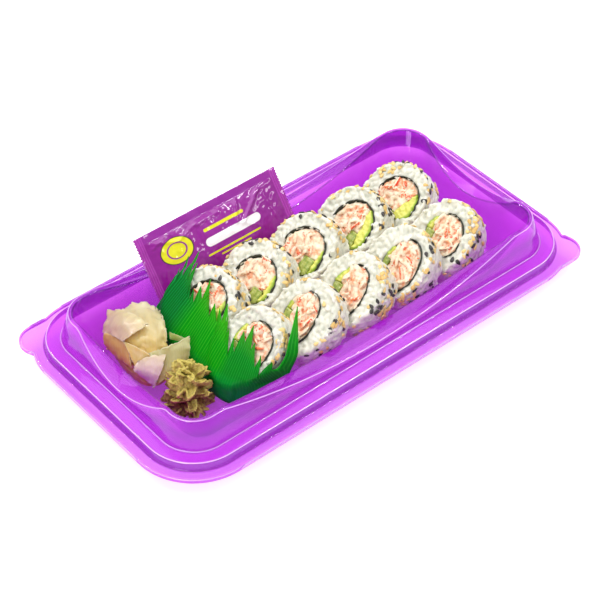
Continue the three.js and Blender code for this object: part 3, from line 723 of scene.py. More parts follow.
def tab_reach(station):
    """How far a thumb tab stands out past the corner's arc."""
    if station[0] != "corner" or not station[3]:
        return 0.0
    x, y = abs(math.cos(station[4])), abs(math.sin(station[4]))
    along, across = x * TAB_X + y * TAB_Y, x * TAB_Y - y * TAB_X
    lobe = along + math.sqrt(TAB_RADIUS ** 2 - across ** 2) if abs(across) < TAB_RADIUS else 0.0
    edge = (TAB_Y + TAB_RADIUS) / max(y, 0.01)
    before = x / max(y, 1e-9) < TAB_X / (TAB_Y + TAB_RADIUS)
    return max(0.0, (edge if before else lobe) - TRAY_CORNER)


def crest_z(station):
    """Height of the ridge, which is scooped out along each side."""
    kind = station[0]
    if kind == "long":
        run = abs(station[1]) * (TRAY_LENGTH / 2 - TRAY_CORNER)
        return RIDGE_TOP - LONG_DIP * max(0.0, 1 - (run / LONG_REACH) ** 2)
    if kind == "short":
        run = abs(station[2]) * (TRAY_WIDTH / 2 - TRAY_CORNER)
        return RIDGE_TOP - SHORT_DIP * max(0.0, 1 - (run / SHORT_REACH) ** 2)
    return RIDGE_TOP


def inner_inset(z):
    return RIDGE_INNER + INNER_SLOPE * (RIDGE_TOP - z)


def outer_inset(z):
    return RIDGE_OUTER - OUTER_SLOPE * (RIDGE_TOP - z)


def tray_rings():
    """The upper face of the formed sheet, from the floor's edge to the turned-down skirt."""
    ledge = RIM_Z + LEDGE_RISE
    foot = ledge - LEDGE_FALL
    profile = [
        lambda z: (inner_inset(WALL) + FLOOR_STRIP, WALL),
        lambda z: (inner_inset(WALL), WALL),
        lambda z: (inner_inset(LOW_WALL_Z), LOW_WALL_Z),
        lambda z: (inner_inset(lerp(LOW_WALL_Z, z, 0.5)), lerp(LOW_WALL_Z, z, 0.5)),
        lambda z: (inner_inset(z), z),
        lambda z: (outer_inset(z), z),
        lambda z: (lerp(outer_inset(z), RIDGE_FOOT, 0.5), lerp(z, foot, 0.5)),
        lambda z: (RIDGE_FOOT, foot),
        lambda z: (LEDGE_INSET, ledge),
        lambda z: (FLANGE, RIM_Z),
        lambda z: (FLANGE_EDGE, RIM_Z),
        lambda z: (0.0, RIM_Z),
        lambda z: (0.0, RIM_Z - SKIRT_DROP),
    ]
    rings = []
    for part in profile:
        ring = []
        for station in tray_stations():
            inset, z = part(crest_z(station))
            reach = tab_reach(station)
            if inset <= FLANGE_EDGE and station[0] == "corner":
                _, sx, sy, _, angle = station
                r = TRAY_CORNER - inset + reach
                x = sx * (TRAY_LENGTH / 2 - TRAY_CORNER) + r * math.cos(angle)
                y = sy * (TRAY_WIDTH / 2 - TRAY_CORNER) + r * math.sin(angle)
            else:
                x, y = inset_point(station, inset)
            ring.append(Vector((x, y, z)))
        rings.append(ring)
    return rings


# Creases by their ring, counted from the floor: which are sharp, and how strong the painted highlight or
# the painted dark line of shade along each one is.
FLOOR_CREASE, SHARP_CREASES = 1, (4, 5, 7, 8, 9, 11)
HIGHLIGHT_CREASES, SHADE_CREASES = {5: 0.9, 7: 0.8, 8: 1.0, 11: 0.9}, {4: 1.0, 6: 0.25, 9: 1.0}
# How deep the stain looks across the sheet, counted in rings from the floor (0) to the skirt's foot. This
# is partly the deeper stain of its steep and folded parts and partly painted shade, which stands in for the
# shade and inner reflections seen through it.
SKIRT_FOOT = 12
STAIN_AND_SHADE = [(0.0, 0.5), (0.9, 0.52), (1.3, 0.64), (3.6, 0.62), (4.0, 0.6), (4.9, 0.42), (5.2, 0.48),
          (6.6, 0.62), (6.95, 0.75), (7.06, 0.5), (7.9, 0.56), (8.12, 0.95), (8.9, 1.0), (9.08, 0.2),
          (9.98, 0.24), (10.02, 0.5), (10.12, 0.14), (11.0, 0.14), (11.4, 0.34), (SKIRT_FOOT, 0.5)]


def note_bands(bm, rings, width):
    """Marks each point's place across the sheet, counted in rings, and how near it is to a crease. That
    nearness sets how strongly the crease's painted highlight or painted shade lies on the point.
    """
    corners = kdtree.KDTree(len(rings) * len(rings[0]))
    for k, ring in enumerate(rings):
        for s, point in enumerate(ring):
            corners.insert(point, k * len(ring) + s)
    corners.balance()
    band, pale, deep = new_layers(bm, "band", "pale_crease", "deep_crease")
    for v in bm.verts:
        here, index, _ = corners.find(v.co)
        k, s = divmod(index, len(rings[0]))
        across, v[band] = 0.0, k
        for other, way in ((k + 1, 1), (k - 1, -1)):
            if 0 <= other < len(rings):
                step = rings[other][s] - here
                share = max(0.0, (v.co - here).dot(step) / step.length_squared)
                v[band] += way * share
                across += way * share * step.length
        near = max(0.0, 1 - abs(across) / width) ** 1.5
        v[pale] = near * HIGHLIGHT_CREASES.get(k, 0.0)
        v[deep] = near * SHADE_CREASES.get(k, 0.0)


def tray_plastic():
    """Clear stained sheet: it lets tinted light through, has some body and a hard gloss. Painted highlights
    lie along some of its creases, and painted dark lines of shade lie along others.
    """
    p = look("tray")
    f = Finish("tray_plastic")
    normal = f.bump(f.cloud(f.spot(), 30.0, 1.0), 0.4, 0.2)
    # Painted shade and stain: steep and folded parts get a deeper colour, more body and a darker clear
    # part.
    depth = f.ramp(f.own("band") / SKIRT_FOOT, [(place / SKIRT_FOOT, (d, d, d)) for place, d in STAIN_AND_SHADE])
    depth = (depth + f.own("deep_crease") * 1.4).clamped()
    pale = f.own("pale_crease")
    colour = f.mix(depth.rise(0.6, 1.0), p.body, p.fold)
    # Painted shade: dark lines along some creases.
    colour = f.mix(f.own("deep_crease").rise(0.2, 0.9), colour, tint(88, 10, 112))
    # Painted highlight: light lines along other creases, with more body so that they also show the gloss.
    colour = f.mix(pale, colour, p.highlight_colour)
    rim = f.node("LayerWeight", None, {"Blend": 0.5, "Normal": normal}, output="Facing")
    body = f.surface(base_color=colour, roughness=0.08, ior=1.45, normal=normal,
                     coat=(1.0, 0.02), coat_ior=1.6)
    clear = f.blend((depth * 1.6).clamped(), f.glow("Transparent", p.stain),
                    f.glow("Transparent", p.shade_stain))
    share = (p.body_share + depth * 0.36 + pale * 0.75 + (rim ** 3.0) * 0.4).clamped()
    return f.done(f.blend(share, clear, body))


def make_tray():
    p = look("tray")
    rings = tray_rings()
    bm = skinned(rings)
    row = bm.verts.layers.int["row"]

    def crease(rows):
        return [e for e in bm.edges if e.verts[0][row] == e.verts[1][row] and e.verts[0][row] in rows]

    for rows, width in ((SHARP_CREASES, p.edge / MM), ((FLOOR_CREASE,), FLOOR_BEND)):
        bmesh.ops.bevel(bm, geom=crease(rows), offset=width, offset_type="OFFSET", segments=CREASE_STEPS,
                        profile=0.5, affect="EDGES", material=-1, clamp_overlap=True)
    note_bands(bm, rings, p.edge / MM)
    bmesh.ops.recalc_face_normals(bm, faces=bm.faces)
    floor = min(bm.faces, key=lambda face: (abs(face.calc_center_median().x), -face.calc_area()))
    if floor.normal.z < 0:
        bmesh.ops.reverse_faces(bm, faces=bm.faces)
    piece = add_piece("tray_shell", mesh_of(bm, "tray_shell"), tray_plastic(), ["tray"])
    thicken(piece, SHEET)


# ---- Rolls ----
class Roll:
    """One slice on its own axes: +X to the near side, +Y up the cut face, +Z out of that face."""

    def __init__(self, row, number, x, y, near, far, ring, avocado, cucumber):
        self.row, self.name = row, f"roll_{row}_{number}"
        self.near, self.far, self.ring = near, far, ring
        self.avocado, self.cucumber = avocado, cucumber
        self.side = 1 if row == "far" else -1
        self.random = random.Random(number * 17 + (row == "near") * 5)
        self.offset = number * 31.7 + (row == "near") * 410.0
        self.place = (Matrix.Translation((x, y, ROLL_MID_Z))
                      @ Matrix.Rotation(math.radians(-90 - ROLL_TURN), 4, "Z")
                      @ Matrix.Rotation(math.radians(90 - ROLL_LEAN), 4, "X"))

    def wave(self, x, y, z, pitch):
        return ripple(x + self.offset, y, z, pitch)

    def rice_edge(self, angle, inset):
        """The rice's outline at an angle, and the way it faces there."""
        c, s = math.cos(angle), math.sin(angle)
        a = (self.near if c > 0 else self.far) - inset
        b = (ROLL_TOP if s > 0 else ROLL_LOW) - inset
        reach = (abs(c / a) ** SQUARENESS + abs(s / b) ** SQUARENESS) ** (-1 / SQUARENESS)
        x, y = reach * c, reach * s
        face = Vector((math.copysign(abs(x / a) ** (SQUARENESS - 1) / a, x),
                       math.copysign(abs(y / b) ** (SQUARENESS - 1) / b, y), 0)).normalized()
        return x, y, face

    def ring_edge(self, angle, grow):
        """The nori ring, which draws to a point at its lower end."""
        x, y, half_x, half_y = self.ring
        c, s = math.cos(angle), math.sin(angle)
        low = max(0.0, -s)
        width = (half_x + grow) * (1 - POINT_NARROWING * low ** 3)
        return x + width * c + POINT_SHIFT * low * abs(c), y + (half_y + grow) * s

    def covered(self, angle):
        """1 where the rice covers the seaweed's edge, 0 where it shows."""
        middle, reach = (1.4, 1.75) if self.row == "far" else (0.35, 1.5)
        away = abs((angle - middle + math.pi) % (2 * math.pi) - math.pi)
        return ease(reach - 0.15, reach + 0.25, away)

    def ring_room(self, x, y, grow=0.0):
        """How far a point lies inside the nori ring, negative outside it."""
        cx, cy, half_x, half_y = self.ring
        s = (y - cy) / (half_y + grow)
        if abs(s) >= 1:
            return -1.0
        low, c = max(0.0, -s), math.sqrt(1 - s * s)
        width = (half_x + grow) * (1 - POINT_NARROWING * low ** 3)
        return width * c - abs(x - cx - POINT_SHIFT * low * c)

    def is_crab(self, x, y, margin):
        """True inside the nori where neither avocado nor cucumber shows, by a margin in millimetres."""
        start, lean = self.avocado
        side, top = self.cucumber
        if self.ring_room(x, y) < 0.9 + margin:
            return False
        above_foot = y > top + margin
        past_avocado = self.side * x - start - lean * y > -margin
        past_cucumber = self.side * x > side - margin
        if past_avocado and (above_foot or self.row == "far"):
            return False
        return above_foot or not past_cucumber


ROLLS = [Roll(*row) for row in ROLL_TABLE]
FIRST_ROLLS = ROLLS[0], ROLLS[5]
# How far the rice draws in towards its cut faces: distances from the middle, and the inset there.
SHOULDER = ([HALF - 3, HALF - 1, HALF], [0.0, 0.6, 1.7])
# Half the thickness of the rice under its grains, and how far its parts lie inside the outline.
CORE_HALF = HALF - 1.0
CORE_INSET, GRAIN_INSET, FACE_INSET = 1.3, 1.0, 1.9
CORE_TURNS, NORI_TURNS = 72, 120
SIDE_TRIES, FACE_TRIES = 5200, 3200
# Size of the small faces of a fused skin.
GRAIN_SKIN, SHRED_SKIN = 0.42, 0.36
# Where points are drawn on a cut face: from and to in x, and from and to in y.
RICE_SPAN, CRAB_SPAN = ((-19, 18), (-21, 20)), ((-13, 14), (-16, 14))


def shoulder(z):
    return float(np.interp(abs(z), *SHOULDER))


def steps_round(count):
    return [2 * math.pi * i / count for i in range(count)]


def rice_core(roll):
    """The wrapper under the grains, with a bumpy skin."""
    turns = steps_round(CORE_TURNS)
    levels = [-CORE_HALF, -HALF + 2.2, -3.0, 0.0, 3.0, HALF - 2.2, CORE_HALF]
    rings = []
    for z in levels:
        ring = []
        for angle in turns:
            bump = 0.35 * roll.wave(9 * math.cos(angle), 9 * math.sin(angle), z, 2.4)
            x, y, _ = roll.rice_edge(angle, CORE_INSET + shoulder(z) + bump)
            ring.append(Vector((x, y, z)))
        rings.append(ring)
    hole = [roll.ring_edge(angle, 0.15 - 0.7 * roll.covered(angle)) for angle in turns]
    rings += [[Vector((x, y, z)) for x, y in hole] for z in (CORE_HALF, -CORE_HALF)]
    bm = skinned(rings, joined_up=True)
    put_in_place(bm, roll.place)
    return shape_of(bm)


def rice_grains(roll, heap, grain):
    """Grains pressed side by side over the roll's side and over both cut faces."""
    p, rnd = look("roll"), roll.random
    length, width = p.grain_length / MM, p.grain_width / MM
    apart = p.grain_spacing / MM
    half_round = (ROLL_TOP + ROLL_LOW + roll.near + roll.far) / 2 * math.pi / 2 * 1.03

    def size():
        return (length / 2 * rnd.uniform(0.8, 1.15), width / 2 * rnd.uniform(0.88, 1.12),
                width / 2 * rnd.uniform(0.72, 0.9))

    def bend():
        return rnd.uniform(-0.03, 0.03), rnd.uniform(-0.04, 0.0)

    def along_side():
        return rnd.uniform(0, 2 * half_round), rnd.uniform(-CORE_HALF, CORE_HALF)

    for run, z in spread(along_side, apart, SIDE_TRIES):
        angle = run / half_round * math.pi
        inset = GRAIN_INSET + shoulder(z) + rnd.uniform(-0.3, 0.3)
        x, y, face = roll.rice_edge(angle, inset)
        across = Vector((-face.y, face.x, 0))
        spin = rnd.gauss(0, 0.9)
        along = across * math.cos(spin) + Vector((0, 0, 1)) * math.sin(spin)
        place = roll.place @ axes_to((x, y, z), along + face * rnd.uniform(-0.2, 0.2), face)
        heap.place(grain, size(), place, bend(), rnd.random())

    for front in (1, -1):
        def on_face():
            x, y = (rnd.uniform(*span) for span in RICE_SPAN)
            ex, ey, _ = roll.rice_edge(math.atan2(y, x), FACE_INSET)
            near = 0.7 - 0.7 * roll.covered(math.atan2(y - roll.ring[1], x - roll.ring[0]))
            if math.hypot(x, y) > math.hypot(ex, ey) or roll.ring_room(x, y, near) > 0:
                return None
            return x, y

        for x, y in spread(on_face, apart * 0.95, FACE_TRIES):
            spin = rnd.uniform(0, math.pi)
            along = (math.cos(spin), math.sin(spin), rnd.gauss(0, 0.28))
            up = (rnd.uniform(-0.2, 0.2), rnd.uniform(-0.2, 0.2), front)
            z = front * (HALF - 1.1 + rnd.uniform(-0.45, 0.25))
            place = roll.place @ axes_to((x, y, z), along, up)
            length_x, width_y, height_z = size()
            heap.place(grain, (length_x * 0.85, width_y, height_z), place, bend(), rnd.random())


def cooked_rice():
    """Moist, slightly see-through grains, with painted shade in the gaps between them."""
    p = look("roll")
    f = Finish("cooked_rice")
    spot = f.spot()
    blotch = f.cloud(spot, 1.6, 2.0)
    wide = f.cloud(spot, 7.0, 2.0)
    # Painted shade: the rice turns to its shade colour in the hollows between grains. The clouds and marks
    # give it random tone.
    share = (f.own("mark") * 0.35 + blotch * 0.35 + wide * 0.45 + 0.15 - f.own("hollow") * 0.6).clamped()
    base = f.mix(share, p.rice_shade, p.rice)
    speck = f.cloud(spot, 0.5, 2.0)
    normal = f.bump(speck * 0.4 + blotch, 0.2, 0.5)
    return f.done(f.surface(
        base_color=base, roughness=0.3 + 0.25 * blotch, normal=normal,
        flesh=(0.6, (1.0, 0.95, 0.85), 0.003), coat=(0.25, 0.2)))


# Size of a seed, clumps on a roll, and the angles between which the seeds of each row lie.
TAN = (3.0, 1.9, 0.8), 3, {"near": (-0.9, 2.3), "far": (0.3, 3.3)}
BLACK = (3.1, 1.8, 1.0), 2, {"near": (-0.8, 1.3), "far": (0.2, 2.6)}


def seed_shape():
    """A flat teardrop with its point towards +X."""
    points, faces = ellipsoid(10, 8)
    points[:, 1] *= 1 - 0.42 * points[:, 0]
    points[:, 2] *= 1 - 0.25 * points[:, 0]
    return points, faces


def lay_seeds(roll, heap, seed, count, size, clumps, spans):
    """Seeds pressed flat round the rim, on the side and on the cut face, more of them in clumps."""
    rnd = roll.random
    low, high = spans[roll.row]
    centres = [(rnd.uniform(low, high), rnd.uniform(-HALF + 3, HALF - 0.6)) for _ in range(clumps)]
    for k in range(count):
        kind = rnd.random()
        if kind < 0.45:
            mid, level = centres[k % clumps]
            angle, z = rnd.gauss(mid, 0.14), rnd.gauss(level, 2.0)
        elif kind < 0.75:
            angle, z = rnd.uniform(low, high), HALF - abs(rnd.gauss(0, 1.6))
        else:
            angle, z = rnd.uniform(low, high), rnd.uniform(-HALF + 1, HALF)
        z = max(-HALF + 0.6, min(HALF + 0.1, z))
        inset = shoulder(z) + rnd.uniform(-0.3, 0.1)
        if z > HALF - 0.7 and rnd.random() < 0.5:
            inset += abs(rnd.gauss(0, 2.2))
        x, y, face = roll.rice_edge(angle, inset)
        if roll.ring_room(x, y, 1.6) > 0:
            continue
        if z > HALF - 1.4:
            face = (face * max(0.0, 1 - inset / 3) + Vector((0, 0, 1.1))).normalized()
        flat = face.orthogonal().normalized()
        spin = Matrix.Rotation(rnd.uniform(0, 2 * math.pi), 3, face)
        tilt = face * rnd.uniform(-0.25, 0.25)
        scale = rnd.uniform(0.85, 1.12)
        place = roll.place @ axes_to((x, y, z), spin @ flat + tilt, face)
        heap.place(seed, [s / 2 * scale for s in size], place, marks=rnd.random())


def seed_coat(name, pale, dark, gloss):
    f = Finish(name)
    spot = f.spot()
    share = (f.own("mark") * 0.7 + f.cloud(spot, 0.8, 2.0) * 0.5).clamped()
    normal = f.bump(f.cloud(spot, 0.35, 2.0), 0.08, 0.4)
    return f.done(f.surface(base_color=f.mix(share, dark, pale), roughness=gloss + 0.15 * share,
                            normal=normal, coat=(0.2, 0.3)))


def make_rice():
    grain = ellipsoid(8, 6)
    material = cooked_rice()
    seed = seed_shape()
    black, tan = Heap(), Heap()
    p = look("roll")
    for roll in ROLLS:
        heap = Heap()
        heap.add(*rice_core(roll), 0.3)
        rice_grains(roll, heap, grain)
        bm = fused(heap, GRAIN_SKIN)
        for v in bm.verts:
            v.co.z = max(v.co.z, FLOOR_TOP)
        mesh = mesh_of(bm, "grains")
        note_hollows(mesh, low=0.0, high=0.08, blurs=2)
        add_piece(roll.name + "_grains", mesh, material, [roll.name + "_rice"])
        lay_seeds(roll, tan, seed, p.tan_seeds, *TAN)
        lay_seeds(roll, black, seed, p.black_seeds, *BLACK)
    add_piece("sesame_tan", tan.mesh("sesame_tan"),
              seed_coat("tan_sesame", tint(240, 212, 142), tint(216, 168, 84), 0.35))
    add_piece("sesame_black", black.mesh("sesame_black"),
              seed_coat("black_sesame", tint(62, 56, 54), tint(16, 14, 14), 0.3))


def dark_nori():
    p = look("roll")
    f = Finish("dark_nori")
    spot = f.spot()
    blotch = f.cloud(spot, 1.2, 4.0, 0.65)
    base = f.mix(blotch.rise(0.35, 0.75), p.nori, tint(58, 62, 38))
    normal = f.bump(f.cloud(spot, 0.5, 4.0, 0.7), 0.25, 0.8)
    return f.done(f.surface(base_color=base, roughness=0.35 + 0.3 * blotch, normal=normal,
                            coat=(0.25, 0.3)))


def make_nori():
    material = dark_nori()
    half_sheet = look("roll").nori_thickness / MM / 2
    levels = [(1, 1), (1, 0.4), (1, -0.4), (1, -1), (-1, -1), (-1, -0.4), (-1, 0.4), (-1, 1)]
    for roll in ROLLS:
        def edge(angle, side, level):
            def wave(z, pitch):
                return roll.wave(12 * math.cos(angle), 12 * math.sin(angle), z, pitch)

            sway = 0.42 * wave(3 * level, 4.0) + 0.2 * wave(7, 1.6)
            slim = 0.75 + 0.5 * wave(90, 5.0)
            x, y = roll.ring_edge(angle, side * half_sheet * slim + sway)
            if abs(level) < 1:
                return Vector((x, y, level * (HALF - 1)))
            raised = 0.3 + 0.5 * wave(40 * level, 3.0)
            return Vector((x, y, level * (HALF - 0.3 + raised - 1.6 * roll.covered(angle))))

        turns = steps_round(NORI_TURNS)
        bm = skinned([[edge(a, side, level) for a in turns] for side, level in levels], joined_up=True)
        put_in_place(bm, roll.place)
        name = roll.name + "_sheet"
        add_piece(name, mesh_of(bm, name), material, [roll.name + "_nori"])


# ---- Fillings ----
def reworked(roll, node, voxel, smoothing, lump, pitch, sink, swell=0.0):
    """A filling's solid with soft edges and an uneven skin. It can swell, and its cut faces can sink, or
    rise where sink is negative."""
    bm = even_skin(solid_of(node), voxel)
    soften(bm, smoothing)
    bm.normal_update()
    back = roll.place.inverted()
    out = roll.place.to_3x3() @ Vector((0, 0, 1))
    for v in bm.verts:
        at = back @ v.co
        push = lump * (roll.wave(*at, pitch) + 0.5 * roll.wave(*at, pitch / 2.2))
        v.co += v.normal * (push + swell)
        if abs(at.z) > HALF - 1.2:
            v.co -= out * math.copysign(sink, at.z)
    return bm


def crab_shreds(roll, heap, shred):
    """Torn flat strips of crab over both cut faces. Some have a red edge."""
    p, rnd = look("filling"), roll.random
    for front in (1, -1):
        laid = 0
        wanted = p.shreds if front == 1 else p.shreds // 2
        for _ in range(wanted * 30):
            if laid >= wanted:
                break
            x, y = (rnd.uniform(*span) for span in CRAB_SPAN)
            if not roll.is_crab(x, y, -0.4):
                continue
            flow = math.pi * (0.5 + 0.9 * roll.wave(x, y, 60 * front, 11.0)) + rnd.gauss(0, 0.4)
            length = rnd.uniform(2.0, 4.0)
            cx, cy = math.cos(flow) * length * 0.8, math.sin(flow) * length * 0.8
            if not (roll.is_crab(x + cx, y + cy, -0.7) and roll.is_crab(x - cx, y - cy, -0.7)):
                continue
            laid += 1
            along = Vector((math.cos(flow), math.sin(flow), rnd.gauss(0, 0.2)))
            up = (rnd.gauss(0, 0.35), rnd.gauss(0, 0.35), front)
            z = front * (HALF - 1.8 + 2.2 * laid / wanted + rnd.uniform(-0.4, 0.3))
            breadth, depth = rnd.uniform(0.75, 1.35), rnd.uniform(0.45, 0.75)
            marks = 0.0
            if rnd.random() < 0.3:
                marks = np.clip(0.75 + 0.9 * rnd.choice((-1, 1)) * shred[0][:, 1], 0, 1)
                breadth = rnd.uniform(0.6, 0.95)
            heap.place(shred, (length, breadth, depth), roll.place @ axes_to((x, y, z), along, up),
                       (rnd.gauss(0, 0.05), rnd.gauss(0, 0.03)), marks)


def shredded_crab():
    p = look("filling")
    f = Finish("shredded_crab")
    spot = f.spot()
    blotch = f.cloud(spot, 3.0, 3.0)
    flesh = f.ramp(blotch, [(0.34, tint(236, 160, 116)), (0.47, p.crab), (0.64, tint(251, 236, 212))])
    # Painted shade: darker orange-brown in the dents between the shreds.
    flesh = f.mix((f.own("hollow") * 1.5).clamped() * 0.85, flesh, tint(196, 100, 56))
    wear = f.cloud(spot, 1.4, 2.0)
    stain = (f.own("mark") * 1.2 - 0.3 * wear).rise(0.25, 0.9)
    base = f.mix(stain, flesh, f.mix(wear.rise(0.4, 0.6), tint(250, 140, 90), p.crab_skin))
    normal = f.bump(f.cloud(spot, 0.45, 3.0, 0.65) + wear, 0.3, 0.6)
    return f.done(f.surface(
        base_color=base, roughness=0.36 + 0.2 * blotch, normal=normal,
        flesh=(0.3, (1.0, 0.75, 0.6), 0.001), coat=(0.25, 0.22)))


def soft_avocado():
    p = look("filling")
    f = Finish("soft_avocado")
    streak = f.cloud(f.own_spot((0.5, 1.0, 0.35)), 1.8, 3.0)
    outward = (f.own("edge") * 0.8 + 0.5 * streak - 0.2).clamped()
    base = f.mix(outward.rise(0.25, 0.9), p.avocado, p.avocado_rim)
    normal = f.bump(streak + 0.3 * f.cloud(f.own_spot(), 0.5, 3.0), 0.4, 0.6)
    return f.done(f.surface(
        base_color=base, roughness=0.33 + 0.2 * streak, normal=normal,
        flesh=(0.25, (0.9, 0.9, 0.3), 0.0014), coat=(0.2, 0.3)))


def wet_cucumber():
    p = look("filling")
    f = Finish("wet_cucumber")
    spot = f.own_spot()
    pulp = f.cloud(spot, 1.6, 3.0)
    flesh = f.ramp(pulp, [(0.35, tint(126, 150, 58)), (0.55, p.cucumber), (0.75, tint(206, 218, 128))])
    skin = (f.own("edge") + 0.25 * pulp - 0.12).rise(0.62, 0.9)
    base = f.mix(skin, flesh, p.cucumber_skin)
    normal = f.bump(pulp + 0.3 * f.cloud(spot, 0.4, 3.0), 0.3, 0.5)
    return f.done(f.surface(
        base_color=base, roughness=0.2 + 0.15 * pulp, normal=normal,
        flesh=(0.3, (0.7, 0.9, 0.3), 0.002), coat=(0.4, 0.12)))


def add_filling(roll, node_part, piece_part, material, slot, edge_of, **rework):
    """A filling piece whose points know their place on the roll and how near the skin they lie."""
    node = f"{roll.name}_{node_part}"
    mesh = mesh_of(reworked(roll, node, **rework), node)
    note_places(mesh, roll.place)
    back = roll.place.inverted()
    note(mesh, "edge", [edge_of(back @ (v.co / MM)) for v in mesh.vertices])
    add_piece(f"{roll.name}_{piece_part}", mesh, material, [node])


def make_fillings():
    shred = ellipsoid(7, 7)
    crab, avocado, cucumber = shredded_crab(), soft_avocado(), wet_cucumber()
    for roll in ROLLS:
        heap = Heap()
        core = reworked(roll, roll.name + "_crab", voxel=0.8, smoothing=2, lump=0.5, pitch=3.0, sink=0.8,
                        swell=0.3)
        heap.add(*shape_of(core), 0.0)
        crab_shreds(roll, heap, shred)
        mesh = mesh_of(fused(heap, SHRED_SKIN), "shreds")
        note_hollows(mesh, low=0.0, high=0.08)
        add_piece(roll.name + "_shreds", mesh, crab, [roll.name + "_crab"])

        def near_nori(at, roll=roll):
            return 1 - ease(0.6, 3.4, roll.ring_room(at.x, at.y))

        def on_skin(at, roll=roll):
            return 1 - ease(0.9, 2.0, roll.ring_room(at.x, at.y))

        add_filling(roll, "avocado", "avocado_strip", avocado, "avocado", near_nori,
                    voxel=0.5, smoothing=3, lump=0.7, pitch=3.2, sink=-0.5, swell=0.35)
        add_filling(roll, "cucumber", "cucumber_stick", cucumber, "cucumber", on_skin,
                    voxel=0.4, smoothing=2, lump=0.2, pitch=4.0, sink=-0.4)


# ---- Grass divider ----
def before_rolls(point, drop):
    """Moves a point of the film out in front of the first rolls' cut faces. Past a roll's outline the
    film may come nearer, the more so the greater drop is."""
    for roll in FIRST_ROLLS:
        at = roll.place.inverted() @ point
        x, y, _ = roll.rice_edge(math.atan2(at.y, at.x), 0)
        past = max(0.0, math.hypot(at.x, at.y) - math.hypot(x, y))
        face = HALF + GRASS_CLEARANCE - drop * past * past
        if at.z < face:
            point = roll.place @ Vector((at.x, at.y, face))
    return point


def film_curve(points, along):
    """A curve of the film, carried on straight past its ends."""
    end = min(1.0, max(0.0, along))
    point = guide(points, end)
    if end != along:
        step = 0.04 if along < 0 else -0.04
        point += (point - guide(points, end + step)) * (along - end) / -step
    return point


def film(along, height):
    """A point of the film: height is -1 at its foot, 0 at its fold and about 1 at its tips."""
    fold = film_curve(GRASS_FOLD, along)
    drop = 0.4 if along < 0.6 else lerp(5.0, 0.4, ease(0.0, 0.3, height))
    if height < 0:
        return before_rolls(fold.lerp(film_curve(GRASS_FOOT, along), -height), drop)
    return before_rolls(fold.lerp(film_curve(GRASS_TIPS, along), height), drop)


def grass_film():
    p = look("grass")
    f = Finish("grass_film")
    spot = f.spot()
    height, shade = f.own("height"), f.own("shade")
    cloud = f.cloud(spot, 12.0, 2.0)
    base = f.mix((shade * 1.1 + 0.3 * cloud - 0.15).clamped(), p.bright, p.deep)
    base = f.mix((height - 0.8 + 0.2 * cloud).rise(0.0, 0.4) * 0.45, base, p.tips)
    # Painted light: the film is coloured brighter towards its foot below the fold. This stands in for light
    # that it doesn't get there.
    low = (1 - height / 0.45).clamped()
    base = f.mix((low * 1.6).clamped() * 0.9, base, tint(0, 196, 78))
    # Painted highlight: lighter lines along the rib tops, standing in for the light that the fine ribs
    # catch. There are more of them towards the tips.
    rib = f.own("rib_top").rise(0.5, 1.0)
    ridge = f.mix(shade, tint(66, 206, 40), tint(24, 180, 84))
    base = f.mix(rib * (0.45 + 0.45 * height.rise(0.3, 0.95)), base, ridge)
    normal = f.bump(f.cloud(spot, 3.0, 2.0), 0.25, 0.25)
    sheet = f.surface(base_color=base, roughness=0.38, normal=normal, specular_ior_level=0.08,
                      flesh=(0.4, (0.2, 1.0, 0.25), 0.002), coat=(0.03, 0.1))
    return f.done(f.blend(0.2 + 0.3 * low, sheet, f.glow("Translucent", tint(0, 200, 60))))


# Rows of points below the film's fold, from there to its notches, and up each blade.
FILM_ROWS = 6, 8, 16
BLADE_LEAN = Vector((-0.75, -0.25, 0.3)) * 0.8


